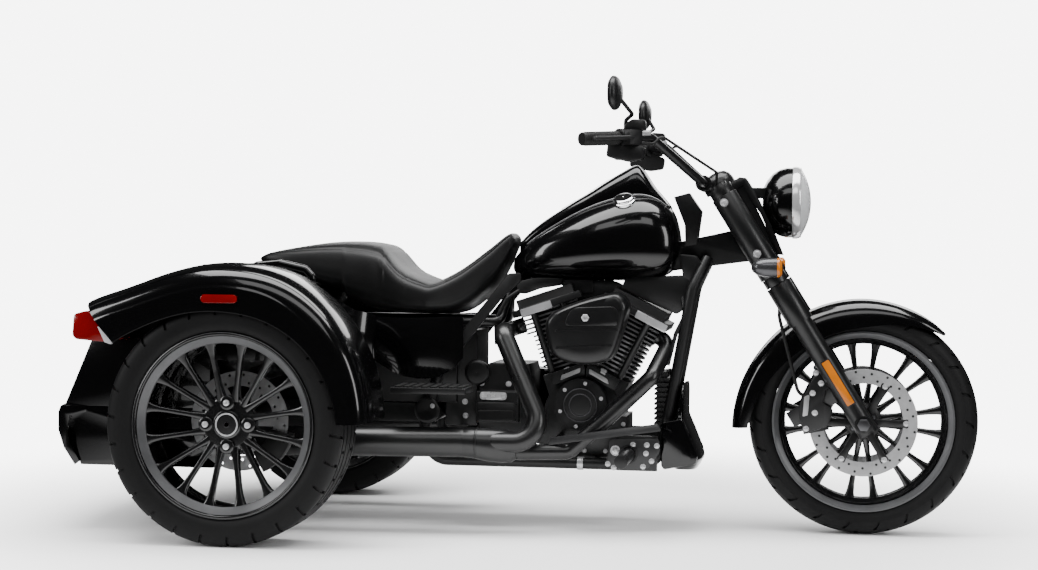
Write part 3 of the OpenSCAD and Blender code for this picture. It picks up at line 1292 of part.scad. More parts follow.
function lamp_edge(r) = let (place = turn(r, arch_to_angle))
    body_point(2*seat_gap - place[0], rear_axle_z + place[1]);
module tail_lamps() color("#a01418") both_sides() across(tail_lamp_y, tail_lamp_y + tail_lamp_w)
    polygon(concat([for (e = lamp_edge_shares) lamp_edge(crown_r*e)], [for (p = tail_lamp_shares)
        body_point(tail_lamp_over + tail_lamp_length*p[0], tail_lamp_low + tail_lamp_h*p[1])]));
marker_y = fender_span/2 + seat_gap;
module side_markers() color("#b01a1a") both_sides() across(marker_y, marker_y + marker_t) {
    translate([rear_axle_x - marker_over - marker_length/2 + marker_h/2,
        marker_z - marker_h/2]) square([marker_length - marker_h, marker_h]);
    for (side = [-1, 1]) translate([rear_axle_x - marker_over + side*(marker_length - marker_h)/2,
        marker_z]) circle(marker_h/2);
}
bumper_h = body_floor_z - seat_gap - bumper_low;
bumper_side_x = rear_end_x + bumper_depth;
bumper_side_end_x = rear_axle_x - bumper_end_over;
module rear_bumper() color("#2b2c2e") union() {
    translate([rear_end_x + bumper_plan_r, 0, bumper_low]) rotate(180 - bumper_half_angle)
        rotate_extrude(angle = 2*bumper_half_angle) polygon([for (s = bumper_shares)
            [bumper_plan_r - bumper_depth*s[0], bumper_h*s[1]]]);
    both_sides() across(body_half - 2*body_wall, body_half - body_wall)
        polygon([[bumper_side_x, bumper_low + bumper_h], [bumper_side_end_x, bumper_low + bumper_h],
            [bumper_side_end_x, bumper_low + bumper_depth/2], [bumper_side_end_x - bumper_depth/2, bumper_low],
            [bumper_side_x + bumper_depth/2, bumper_low], [bumper_side_x, bumper_low + bumper_h/2]]);
}

// Rear axle
pivot = front_place(arm_pivot_back, 0, rear_axle_z);
pivot_half = rail_y - rail_r - seat_gap;
module rear_axle() color("#1d1d1f") difference() {
    union() {
        on_axle(rear_axle_x, -axle_tube_half, rear_axle_z) cylinder(r = axle_tube_r, h = 2*axle_tube_half);
        on_axle(rear_axle_x, -diff_half, rear_axle_z) cylinder(r = diff_r, h = 2*diff_half);
        on_axle(pivot[0], -pivot_half, pivot[2]) cylinder(r = pivot_r, h = 2*pivot_half);
        both_sides() translate([rear_axle_x, arm_y - arm_w/2,
            rear_axle_z - arm_h/2]) cube([pivot[0] - rear_axle_x, arm_w, arm_h]);
    }
    both_sides() on_axle(rear_axle_x, axle_tube_half - axle_bore_depth, rear_axle_z)
        cylinder(r = stub_r + run_gap, h = axle_bore_depth + overrun);
}
rear_disc_y = rear_wheel_y - rear_neck_out - disc_t/2;
module rear_calipers() color("#2c2c2e") both_sides() on_axle(rear_axle_x, rear_disc_y, rear_axle_z)
    rotate(-rear_caliper_from - rear_caliper_sweep) union() {
        caliper_ring(rear_caliper_r_in, rear_disc_d/2 + caliper_room + caliper_wall,
            rear_caliper_sweep, rear_disc_d/2);
        rotate_extrude(angle = rear_caliper_sweep) translate([axle_tube_r + seat_gap, -caliper_out])
            square([rear_caliper_r_in - axle_tube_r, caliper_wall]);
    }

// Foot pieces
board_middle = board_z + board_t/2;
board_post_share = (board_middle - rail_rear_z)/(upright_z - rail_rear_z);
board_post_x = front_axle_x - mix(rail_rear_back + rail_bend/2, upright_back, board_post_share);
module passenger_boards() color("#1c1c1d") both_sides() union() {
    translate([front_axle_x - board_back, board_in_y, board_z]) cube([board_length,
        board_out_y - board_in_y, board_t]);
    on_axle(board_post_x, rail_y + rail_r + seat_gap, board_middle) cylinder(r = board_post_r,
        h = board_in_y - rail_y);
}
module foot_controls() color("#27272a") both_sides() union() {
    translate([front_axle_x - plate_back, rail_y + rail_r + seat_gap, plate_low]) cube([plate_length,
        plate_t, plate_high - plate_low]);
    on_axle(front_axle_x - peg_back, rail_y + rail_r + plate_t/2, peg_z) cylinder(r = peg_r,
        h = peg_out_y - rail_y - rail_r - plate_t/2);
}

battery_rear_x = rear_axle_x + deck_front_over + seat_gap;
battery_arm_z = rear_axle_z + arm_h/2 + battery_gap;
module battery_box() color("#1a1a1b") union() {
    across(-gearbox_half, gearbox_half) polygon([[front_axle_x - battery_front_back, battery_low_z],
        [front_axle_x - battery_front_back, battery_high_z], [battery_rear_x, battery_high_z],
        [battery_rear_x, battery_arm_z], [front_axle_x - battery_step_back, battery_arm_z],
        [front_axle_x - battery_step_back, battery_low_z]]);
    across(-pivot_half, pivot_half) polygon([[front_axle_x - battery_wide_back, battery_arm_z],
        [front_axle_x - battery_wide_back, battery_high_z], [battery_rear_x, battery_high_z],
        [battery_rear_x, battery_arm_z]]);
}

front_tyre();
front_rim();
front_discs();
rear_tyre_left();
rear_tyre_right();
rear_rim_left();
rear_rim_right();
rear_disc_left();
rear_disc_right();
front_axle();
fork_legs();
fork_clamps();
fork_covers();
front_calipers();
front_fender();
brake_hose();
headlamp_shell();
headlamp_ring();
headlamp_lens();
handlebar();
grips();
hand_controls();
mirrors();
turn_signals();
turn_signal_lenses();
frame_spine();
frame_cradle();
engine_case();
cylinders();
rocker_boxes();
air_cleaner();
gearbox();
primary_cover();
exhaust_headers();
mufflers();
crossover_pipe();
chin_fairing();
fuel_tank();
tank_console();
seat();
side_covers();
rear_body();
trunk_lid();
rear_fender_left();
rear_fender_right();
tail_lamps();
side_markers();
rear_bumper();
rear_axle();
rear_calipers();
passenger_boards();
foot_controls();
battery_box();
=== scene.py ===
# %% [markdown]
# # A three-wheeled road machine, dressed for a portrait
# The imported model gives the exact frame: where each axle, tube and panel sits. This lesson loads it,
# keeps its box, and then dresses it piece by piece. Every length is in metres, in the frame's own axes:
# X points forward, Y to the rider's left and Z up from the floor.

# %% Load the frame
import json
import math
import bpy
import bmesh
import numpy as np
from mathutils import Matrix, Vector


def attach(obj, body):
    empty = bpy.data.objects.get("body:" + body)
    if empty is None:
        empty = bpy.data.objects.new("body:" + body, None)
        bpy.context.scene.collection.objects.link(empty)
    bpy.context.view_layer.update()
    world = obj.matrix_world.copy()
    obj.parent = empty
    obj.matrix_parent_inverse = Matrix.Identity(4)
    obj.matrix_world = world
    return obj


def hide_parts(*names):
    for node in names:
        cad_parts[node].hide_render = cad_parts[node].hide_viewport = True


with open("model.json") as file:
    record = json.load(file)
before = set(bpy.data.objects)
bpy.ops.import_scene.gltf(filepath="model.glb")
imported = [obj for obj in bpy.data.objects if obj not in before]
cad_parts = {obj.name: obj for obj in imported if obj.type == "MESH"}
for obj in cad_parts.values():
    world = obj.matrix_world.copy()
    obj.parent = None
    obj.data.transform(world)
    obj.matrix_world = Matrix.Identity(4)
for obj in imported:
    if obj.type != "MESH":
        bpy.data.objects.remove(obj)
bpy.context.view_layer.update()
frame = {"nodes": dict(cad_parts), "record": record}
nodes = frame["nodes"]
mm = 0.001

# %% [markdown]
# ## Camera, floor and light
# The picture is a level side view from about five and a half metres, taken with a longish lens, so the
# camera is set from a fitted position and three angles. The floor is a pale disc that fades out at its
# rim. Black paint shows nothing but what it mirrors, so the light is a few large soft panels: one above
# for the long highlights on the tank and fenders, and narrow ones at both ends for the edges. The room
# round them is bright for the eye and the floor, and dim where the paint mirrors it, as in a dark hall
# with a lit white cove.

# %% Camera
scene = bpy.context.scene
cam_yaw, cam_pitch, cam_roll = (math.radians(a) for a in (8.39, 1.38, 0.65))
way = Vector((-math.sin(cam_yaw)*math.cos(cam_pitch), math.cos(cam_yaw)*math.cos(cam_pitch),
    -math.sin(cam_pitch)))
right = Vector((math.cos(cam_yaw), math.sin(cam_yaw), 0))
above = right.cross(way)
cam_x = right*math.cos(cam_roll) + above*math.sin(cam_roll)
cam_y = above*math.cos(cam_roll) - right*math.sin(cam_roll)
camera = bpy.data.objects.new("camera", bpy.data.cameras.new("camera"))
scene.collection.objects.link(camera)
turn = Matrix((cam_x, cam_y, -way)).transposed().to_4x4()
camera_place, photo_width = (0.8627, -5.559, 0.804), 1038
camera.matrix_world = Matrix.Translation(camera_place) @ turn
camera.data.lens = 67.33
camera.data.sensor_width = 36
camera.data.shift_x, camera.data.shift_y = -20.7/photo_width, 7.1/photo_width
scene.camera = camera
print("camera lens", round(camera.data.lens, 1))

# %% Floor
def new_material(name):
    m = bpy.data.materials.new(name)
    m.use_nodes = True
    m.node_tree.nodes.clear()
    return m, m.node_tree.nodes, m.node_tree.links

def new_nodes(home, prefix, *kinds):
    return [home.new(prefix + kind) for kind in kinds]

def set_inputs(node, values):
    for key, value in values.items():
        node.inputs[key].default_value = value

def join(links, *wires):
    for a, leaving, b, entering in wires:
        links.new(a.outputs[leaving], b.inputs[entering])

def floor_material():
    m, n, l = new_material("pale_floor")
    out, paint, clear, blend = new_nodes(n, "ShaderNode", "OutputMaterial", "BsdfDiffuse", "BsdfTransparent",
        "MixShader")
    place, reach, fade = new_nodes(n, "ShaderNode", "TexCoord", "VectorMath", "MapRange")
    reach.operation, fade.interpolation_type = "LENGTH", "SMOOTHSTEP"
    set_inputs(paint, {"Color": (0.96, 0.96, 0.96, 1)})
    set_inputs(fade, {"From Min": 1.0, "From Max": 2.7})
    join(l, (place, "Object", reach, 0), (reach, "Value", fade, "Value"), (fade, "Result", blend, "Fac"),
        (paint, 0, blend, 1), (clear, 0, blend, 2), (blend, 0, out, "Surface"))
    return m

floor_radius = 3.8
bpy.ops.mesh.primitive_circle_add(vertices=96, radius=floor_radius, fill_type="NGON", location=(0, 0, 0))
floor = bpy.context.object
floor.name = "floor"
floor.data.materials.append(floor_material())
print("floor radius", floor_radius, "m")

# %% Light
def soft_panel(name, place, target, width, height, power):
    lamp = bpy.data.lights.new(name, "AREA")
    lamp.shape = "RECTANGLE"
    lamp.size, lamp.size_y, lamp.energy = width, height, power
    o = bpy.data.objects.new(name, lamp)
    scene.collection.objects.link(o)
    o.location = place
    o.rotation_euler = (Vector(target) - Vector(place)).to_track_quat("-Z", "Y").to_euler()

soft_panel("panel_above", (0.1, -0.4, 3.6), (0, 0, 0.4), 4.6, 2.0, 325)
soft_panel("panel_front_end", (3.6, -1.8, 1.7), (0.4, 0, 0.7), 0.9, 2.2, 50)
soft_panel("panel_rear_end", (-3.4, -2.2, 1.8), (-0.5, 0, 0.6), 0.9, 2.2, 80)
soft_panel("panel_behind", (0.2, 3.6, 2.2), (0, 0, 0.5), 4.0, 1.4, 70)
soft_panel("panel_camera_side", (0.6, -4.4, 4.4), (0, 0, 0.5), 5.0, 1.6, 85)

def studio_world():
    world = bpy.data.worlds.new("studio")
    scene.world = world
    world.use_nodes = True
    n = world.node_tree.nodes
    n.clear()
    out, seen, room, dim, ray, gloss, view = new_nodes(n, "ShaderNode", "OutputWorld", "Background", "Background",
        "Background", "LightPath", "MixShader", "MixShader")
    for sky, strength in ((seen, 7.0), (room, 0.65), (dim, 0.03)):
        set_inputs(sky, {"Color": (1, 1, 1, 1), "Strength": strength})
    join(world.node_tree.links, (ray, "Is Glossy Ray", gloss, "Fac"), (room, 0, gloss, 1), (dim, 0, gloss, 2),
        (ray, "Is Camera Ray", view, "Fac"), (gloss, 0, view, 1), (seen, 0, view, 2), (view, 0, out, "Surface"))

studio_world()

# %% [markdown]
# ## Shared surface effects
# No real surface is perfectly even. Two small shader groups give every finish its own life: one lets
# the gloss and the tone drift over a hand's breadth, the other makes a fine grain in height, as of
# cast metal, rubber or powder coat. They read Object coordinates, so they stay with the piece.

# %% Shader groups
def shader_group(name, ins, result):
    t = bpy.data.node_groups.new(name, "ShaderNodeTree")
    for key, value in ins.items():
        t.interface.new_socket(name=key, in_out="INPUT", socket_type="NodeSocketFloat").default_value = value
    t.interface.new_socket(name=result, in_out="OUTPUT", socket_type="NodeSocketFloat")
    return t, t.nodes, *new_nodes(t.nodes, "NodeGroup", "Input", "Output")

def make_drift():
    t, n, gi, go = shader_group("tone_drift", {"Scale": 6, "Low": 0.2, "High": 0.3}, "Value")
    place, noise, span = new_nodes(n, "ShaderNode", "TexCoord", "TexNoise", "MapRange")
    set_inputs(noise, {"Detail": 4})
    set_inputs(span, {"From Min": 0.3, "From Max": 0.7})
    join(t.links, (place, "Object", noise, "Vector"), (gi, "Scale", noise, "Scale"), (noise, "Fac", span, "Value"),
        (gi, "Low", span, "To Min"), (gi, "High", span, "To Max"), (span, "Result", go, "Value"))
    return t

def make_grain():
    t, n, gi, go = shader_group("fine_grain", {"Scale": 900, "Coarse Share": 0.3}, "Height")
    place, fine, coarse, mix = new_nodes(n, "ShaderNode", "TexCoord", "TexNoise", "TexVoronoi", "Mix")
    for noise in (fine, coarse):
        join(t.links, (place, "Object", noise, "Vector"), (gi, "Scale", noise, "Scale"))
    join(t.links, (gi, "Coarse Share", mix, "Factor"), (fine, "Fac", mix, "A"), (coarse, "Distance", mix, "B"),
        (mix, "Result", go, "Height"))
    return t

tone_drift, fine_grain = make_drift(), make_grain()
print("groups:", tone_drift.name, fine_grain.name)

# %% [markdown]
# ## Finishes
# Gloss paint is a black base under a clear coat. Powder coat and cast alloy are rougher, with a grain.
# Rubber and seat vinyl are dark and dull, lenses are tinted and let light through. Each finish is one
# recipe: a base colour that drifts a little between two tones, a drifting roughness and a grain height.

# %% Recipe for a finish
finishes = {}

def drift_node(n, scale, low, high):
    g = n.new("ShaderNodeGroup")
    g.node_tree = tone_drift
    set_inputs(g, {"Scale": scale, "Low": low, "High": high})
    return g

def finish(name, tone, rough, metal=0.0, grain=0, bump=0.0, coarse=0.3, coat=0.0, tone_share=0.75, drift=6.0,
        specular=None):
    m, n, l = new_material(name)
    out, skin, shade = new_nodes(n, "ShaderNode", "OutputMaterial", "BsdfPrincipled", "Mix")
    shade.data_type = "RGBA"
    set_inputs(skin, {"Metallic": metal})
    set_inputs(shade, {"A": (*tone, 1), "B": (*(c*tone_share for c in tone), 1)})
    join(l, (skin, 0, out, "Surface"), (drift_node(n, drift, *rough), "Value", skin, "Roughness"),
        (drift_node(n, drift*2.7, 0, 1), "Value", shade, "Factor"), (shade, "Result", skin, "Base Color"))
    if grain:
        g, b = new_nodes(n, "ShaderNode", "Group", "Bump")
        g.node_tree = fine_grain
        set_inputs(g, {"Scale": grain, "Coarse Share": coarse})
        set_inputs(b, {"Strength": bump, "Distance": 0.0006})
        join(l, (g, "Height", b, "Height"), (b, "Normal", skin, "Normal"))
    if coat:
        set_inputs(skin, {"Coat Weight": coat, "Coat Roughness": 0.02})
    if specular is not None:
        set_inputs(skin, {"Specular IOR Level": specular})
    finishes[name] = m
    return m

def clear_lens(name, tint):
    m, n, l = new_material(name)
    out, skin = new_nodes(n, "ShaderNode", "OutputMaterial", "BsdfPrincipled")
    set_inputs(skin, {"Base Color": (*tint, 1), "Transmission Weight": 0.62, "IOR": 1.35})
    join(l, (skin, 0, out, "Surface"), (drift_node(n, 6, 0.02, 0.05), "Value", skin, "Roughness"))
    finishes[name] = m
    return m

# %% Black finishes
gloss_black = finish("gloss_black", (0.0012, 0.0012, 0.0014), (0.14, 0.20), coat=0.55, drift=3, specular=0.2)
satin_black = finish("satin_black", (0.0035, 0.0035, 0.0038), (0.28, 0.38), grain=1500, bump=0.06, specular=0.4)
powder_black = finish("powder_black", (0.0035, 0.0035, 0.0038), (0.40, 0.52), grain=1100, bump=0.14, specular=0.35)
wheel_black = finish("wheel_black", (0.004, 0.004, 0.0043), (0.18, 0.26), coat=0.5, drift=5, specular=0.35)
engine_black = finish("engine_black", (0.0042, 0.0042, 0.0045), (0.38, 0.5), grain=800, bump=0.22, specular=0.4)
control_black = finish("control_black", (0.004, 0.004, 0.0043), (0.34, 0.46), grain=1300, bump=0.1, specular=0.4)
pipe_black = finish("pipe_black", (0.0038, 0.0038, 0.004), (0.26, 0.36), grain=1600, bump=0.05)
tyre_rubber = finish("tyre_rubber", (0.0038, 0.0038, 0.004), (0.55, 0.66), grain=700, bump=0.12, specular=0.16)
soft_rubber = finish("soft_rubber", (0.006, 0.006, 0.006), (0.5, 0.6), grain=900, bump=0.15, specular=0.3)
seat_vinyl = finish("seat_vinyl", (0.003, 0.003, 0.0032), (0.38, 0.48), grain=420, bump=0.3, coarse=0.85,
    specular=0.25)
print(len(finishes), "black finishes")

# %% Metals and lenses
flange_grey = finish("flange_grey", (0.075, 0.076, 0.079), (0.3, 0.4), metal=0.35, drift=8)
signal_grey = finish("signal_grey", (0.07, 0.07, 0.074), (0.22, 0.32), metal=0.7)
valance_grey = finish("valance_grey", (0.014, 0.014, 0.0148), (0.4, 0.5), grain=900, bump=0.12)
bright_alloy = finish("bright_alloy", (0.55, 0.55, 0.56), (0.2, 0.32), metal=0.55, drift=14, tone_share=0.85)
cast_silver = finish("cast_silver", (0.34, 0.34, 0.345), (0.3, 0.42), metal=0.5, grain=900, bump=0.12)
chrome = finish("chrome", (0.82, 0.82, 0.83), (0.04, 0.08), metal=1.0, tone_share=0.95)
ring_chrome = finish("ring_chrome", (0.6, 0.6, 0.61), (0.1, 0.18), metal=0.6, tone_share=0.92)
disc_steel = finish("disc_steel", (0.30, 0.30, 0.305), (0.36, 0.48), metal=0.3, drift=30, tone_share=0.85)
dark_steel = finish("dark_steel", (0.10, 0.10, 0.105), (0.3, 0.42), metal=1.0, drift=10)
# lighter grey metal for thin edges: bare metal with a painted highlight on the fin rims, a painted highlight line on
# the console rims
edge_highlight_metal = finish("edge_highlight_metal", (0.2, 0.2, 0.204), (0.25, 0.36), metal=0.6, drift=14)
lamp_silver = finish("lamp_silver", (0.72, 0.72, 0.73), (0.2, 0.3), metal=0.35, tone_share=0.92)
mirror_face = finish("mirror_face", (0.7, 0.71, 0.73), (0.02, 0.04), metal=1.0, tone_share=0.97)
amber_lens = finish("amber_lens", (0.48, 0.13, 0.002), (0.12, 0.2), coat=0.3, specular=0.3)
red_lens = finish("red_lens", (0.16, 0.0006, 0.0008), (0.08, 0.14), coat=0.4, specular=0.3)
lamp_glass = clear_lens("lamp_glass", (0.92, 0.93, 0.94))
print(len(finishes), "finishes in all")

# %% [markdown]
# ## Tools for building pieces
# Most bodywork is a skin through rings of points. The rings come from short tables of shares, the same
# ones that the solid model uses, read on a smooth curve at many more places. A table row holds where the
# ring lies and how wide and high it is there, so a shape can be tuned with a handful of numbers.

# %% Tables
left_right = (("left", 1), ("right", -1))
both = (-1, 1)

def row_at(table, t):
    # the smooth curve through the rows (Catmull-Rom), at a place counted in rows
    last = len(table) - 1
    i = min(int(t), last - 1)
    f = t - i
    a, b, c, d = (table[k] for k in (max(i - 1, 0), i, i + 1, min(i + 2, last)))
    return (2*b + (c - a)*f + (2*a - 5*b + 4*c - d)*f**2 + (3*b - a - 3*c + d)*f**3)/2

def rows(table, n):
    table = np.array(table, float)
    return np.array([row_at(table, i*(len(table) - 1)/n) for i in range(n + 1)])

def row_of(table, s):
    # the row at a share of the length, on straight lines between rows
    i = int(np.clip(np.searchsorted(table[:, 0], s, "right") - 1, 0, len(table) - 2))
    return table[i] + (table[i + 1] - table[i])*(s - table[i, 0])/(table[i + 1, 0] - table[i, 0])

def powered(v, p):
    return np.sign(v)*np.abs(v)**p

print("the curve through 0, 1, 4, 9 at 1.5 is", row_at(np.array([[0], [1], [4], [9]], float), 1.5)[0])

# %% Meshes and pieces
def finish_mesh(name, verts, faces, materials, body, smooth=40, replaced=(), slot=None, face_mats=None):
    mesh = bpy.data.meshes.new(name)
    mesh.from_pydata([tuple(v) for v in verts], [], faces)
    for m in materials if isinstance(materials, (list, tuple)) else [materials]:
        mesh.materials.append(m)
    if face_mats is not None:
        mesh.polygons.foreach_set("material_index", face_mats)
    o = new_object(name, mesh)
    tidy_normals(o)
    return place_piece(o, body, smooth, replaced)

def new_object(name, mesh):
    o = bpy.data.objects.new(name, mesh)
    scene.collection.objects.link(o)
    return o

def apply_modifiers(o):
    # instances and modifiers become one plain mesh, which every program can read
    plain = bpy.data.meshes.new_from_object(o.evaluated_get(bpy.context.evaluated_depsgraph_get()))
    o.modifiers.clear()
    o.data = plain

def tidy_normals(o):
    b = bmesh.new()
    b.from_mesh(o.data)
    bmesh.ops.remove_doubles(b, verts=b.verts, dist=1e-6)
    bmesh.ops.recalc_face_normals(b, faces=b.faces)
    b.to_mesh(o.data)
    b.free()

def place_piece(o, body, smooth=40, replaced=()):
    o.data.shade_smooth()
    o.data.set_sharp_from_angle(angle=math.radians(smooth))
    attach(o, body)
    if replaced:
        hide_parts(*replaced)
    return o

def skin_faces(n, m, closed=True, first=0):
    last = m if closed else m - 1
    return [(first + i*m + k, first + i*m + (k + 1) % m, first + (i + 1)*m + (k + 1) % m, first + (i + 1)*m + k)
            for i in range(n - 1) for k in range(last)]

def closed_faces(n, m):
    return skin_faces(n, m) + [tuple(range(m)), tuple(range((n - 1)*m, n*m))]

def skin(name, rings, materials, body, **kw):
    rings = np.asarray(rings)
    return finish_mesh(name, rings.reshape(-1, 3), closed_faces(*rings.shape[:2]), materials, body, **kw)

def shell(name, outer, inner, materials, body, **kw):
    # two sheets of points, joined round their edges into one thin solid
    outer, inner = np.asarray(outer), np.asarray(inner)
    n, m = outer.shape[:2]
    q = n*m
    faces = skin_faces(n, m, False) + skin_faces(n, m, False, q)
    edge = [i*m for i in range(n)] + [(n - 1)*m + k for k in range(1, m)]
    edge += [i*m + m - 1 for i in range(n - 2, -1, -1)] + list(range(m - 2, 0, -1))
    faces += [(a, b, b + q, a + q) for a, b in zip(edge, edge[1:] + edge[:1])]
    verts = np.concatenate([outer.reshape(-1, 3), inner.reshape(-1, 3)])
    return finish_mesh(name, verts, faces, materials, body, **kw)

def shell_pair(name, outer, inner, smooth, replaced):
    for side, flip in left_right:
        o = shell(name % side, outer*[1, flip, 1], inner*[1, flip, 1], gloss_black, "chassis", smooth=smooth,
            replaced=replaced.get(side, []), slot="gloss_black")
    print(name % "left/right", len(o.data.polygons), "faces each")

print("pieces on both sides are made as", [side for side, flip in left_right])

# %% Bent lines and sweeps
def unit(v):
    return np.asarray(v, float)/np.linalg.norm(v)

def bend_line(path, bend, step=6):
    # straight runs joined by arcs of the given radius, one point for every few degrees of bend
    path = [np.array(p, float) for p in path]
    way = [unit(b - a) for a, b in zip(path, path[1:])]
    bends = np.broadcast_to(bend, len(path) - 2)
    line = [path[0]]
    for p, d, e, bend in zip(path[1:-1], way, way[1:], bends):
        a = math.acos(float(np.clip(d @ e, -1, 1)))
        if a < 0.01:
            continue
        c = p + unit(e - d)*bend/math.cos(a/2)
        x = unit(p - d*bend*math.tan(a/2) - c)
        count = max(2, int(math.degrees(a)/step))
        line += [c + bend*(x*math.cos(a*k/count) + d*math.sin(a*k/count)) for k in range(count + 1)]
    return np.array(line + [path[-1]])

def sweep(line, r, sides=24):
    # rings square to the line, each turned as little as possible from the one before
    line = np.asarray(line, float)
    ways = np.gradient(line, axis=0)
    u, rings = np.array([0.13, 0.29, 0.95]), []
    for p, d in zip(line, ways):
        d = unit(d)
        u = unit(u - d*(u @ d))
        v = np.cross(d, u)
        a = np.linspace(0, 2*math.pi, sides, endpoint=False)
        rings.append(p + r*(np.outer(np.cos(a), u) + np.outer(np.sin(a), v)))
    return np.array(rings)

def gather(parts):
    # many small parts as one list of points and one of faces
    verts, faces, at = [], [], 0
    for v, f in parts:
        verts.append(np.asarray(v).reshape(-1, 3))
        faces += [tuple(k + at for k in g) for g in f]
        at += len(verts[-1])
    return np.concatenate(verts), faces

def tube_part(line, r, sides=24):
    rings = sweep(line, r, sides)
    return rings, closed_faces(len(rings), sides)

def mirrored(v):
    return np.asarray(v)*np.array([1, -1, 1])

# %% [markdown]
# ## Machined pieces
# Forgings, covers and brackets are right as the solid model has them, but a perfect edge catches no
# light. A merged copy of the node gets a narrow bevel and a shading that keeps real corners sharp.

# %% A dressed copy of a node
def dressed(node, material, bevel, extra=(), smooth=32):
    # flat faces are merged first, so that only real edges take the bevel
    mesh = nodes[node].data.copy()
    mesh.materials.clear()
    for m in (material, *extra):
        mesh.materials.append(m)
    o = new_object(node + "_dressed", mesh)
    b = bmesh.new()
    b.from_mesh(mesh)
    bmesh.ops.remove_doubles(b, verts=b.verts, dist=2e-6)
    bmesh.ops.dissolve_limit(b, angle_limit=math.radians(0.6), verts=b.verts, edges=b.edges)
    for f in b.faces:
        f.material_index = 0
    b.to_mesh(mesh)
    b.free()
    if bevel:
        mod = o.modifiers.new("edge", "BEVEL")
        mod.width, mod.segments, mod.limit_method = bevel*mm, 2, "ANGLE"
        mod.angle_limit = math.radians(smooth)
        mod.use_clamp_overlap = True
        apply_modifiers(o)
    return place_piece(o, body_of_node(node), smooth, [node])

def body_of_node(node):
    return next(b for b, members in frame["record"]["behaviour"]["bodies"].items() if node in members)

# %% [markdown]
# ## Tank and console
# The tank is a drop: round in section, widest ahead of its middle, and falling away to the seat. The
# ends of the skin are drawn in along a quarter circle, as a pressed and welded shell closes. The console
# lies along its crown and rises at the front into the instrument wedge.

# %% Tank
front_x, front_z = 970.7, 319.3
rear_x, rear_z, rear_y = -699.3, 320.85, 560.0
tank_shares = [[0, 0.34, 0.05, 0.14, 0.24], [0.1, 0.6, 0.01, 0.22, 0.43], [0.22, 0.8, 0, 0.3, 0.59],
    [0.4, 0.95, 0, 0.36, 0.79], [0.56, 1, 0, 0.4, 0.92], [0.72, 1, 0, 0.42, 1], [0.83, 0.97, 0.02, 0.42, 0.98],
    [0.92, 0.87, 0.07, 0.42, 0.87], [0.975, 0.72, 0.17, 0.41, 0.72], [1, 0.52, 0.28, 0.4, 0.56]]
tank_rear, tank_length, tank_low, tank_h, tank_half = front_x - 1002, 482, 706, 250, 150
tank_rows = rows(tank_shares, 90)

def drawn_in(s, at_rear, at_front):
    # 1 along the middle, falling to 0 at both ends on a quarter circle
    d = np.minimum(np.minimum(s/at_rear, 1), np.minimum((1 - s)/at_front, 1))
    return np.sqrt(np.maximum(1 - (1 - d)**2, 0))

def round_ring(x, half, low, waist, high, power, sides):
    a = np.linspace(0, 2*math.pi, sides, endpoint=False)
    c, s = powered(np.cos(a), power), powered(np.sin(a), power)
    z = waist + np.where(s > 0, s*(high - waist), s*(waist - low))
    return np.stack([np.full(sides, x), half*c, z], 1)

def tank_ring(w):
    e = max(float(drawn_in(w[0], 0.035, 0.05)), 0.04)
    low, waist, high = (tank_low + tank_h*v for v in w[2:5])
    return round_ring(tank_rear + tank_length*w[0], tank_half*w[1]*(0.35 + 0.65*e), waist + (low - waist)*e, waist,
        waist + (high - waist)*(0.3 + 0.7*e), 0.8, 96)

tank = skin("fuel_tank_shell", np.array([tank_ring(w) for w in tank_rows])*mm, gloss_black, "chassis",
    smooth=50, replaced=["fuel_tank"], slot="gloss_black")
print("tank", len(tank.data.polygons), "faces")

# %% Console
console_shares = [[0, 0.5, 0.34], [0.16, 0.66, 0.42], [0.32, 0.8, 0.46], [0.46, 0.88, 0.53], [0.56, 0.94, 0.67],
    [0.68, 0.98, 0.86], [0.77, 1, 1], [0.82, 1, 0.82], [0.9, 0.96, 0.3], [1, 0.84, 0.06]]
console_rear, console_length, console_half, console_h = front_x - 982, 432, 62, 80

def tank_top(x, y):
    w = row_of(tank_rows, min(max((x - tank_rear)/tank_length, 0), 1))
    c = np.minimum(np.abs(y)/(tank_half*w[1]), 1)
    return tank_low + tank_h*(w[3] + (w[4] - w[3])*(1 - c**2.5)**0.4)

def console_ring(w):
    x, half, high = console_rear + console_length*w[0], console_half*w[1], console_h*w[2]
    floor_y = np.linspace(-half, half, 15)
    a = np.linspace(0, math.pi, 34)[1:-1]
    rim, top = tank_top(x, half) - 3, tank_top(x, 0) + high
    arch_y = half*powered(np.cos(a), 0.7)
    arch_z = rim + (top - rim)*powered(np.sin(a), 0.6)
    y = np.concatenate([floor_y, arch_y])
    z = np.concatenate([tank_top(x, floor_y) - 3, arch_z])
    return np.stack([np.full(len(y), x), y, z], 1)

console_rows = rows(console_shares, 70)
console = skin("tank_console_shell", np.array([console_ring(w) for w in console_rows])*mm, gloss_black,
    "chassis", smooth=50, replaced=["tank_console"], slot="gloss_black")
print("console", len(console.data.polygons), "faces")

# %% [markdown]
# ## Seat
# A stepped bench in grained vinyl: a dished place for the rider that climbs to the tank, and a raised
# pad behind. It is built as one crowned skin, and its seams are pressed in along the lines where the
# real cover is sewn: one round the top panel's edge and two across, where the rider's pad ends.

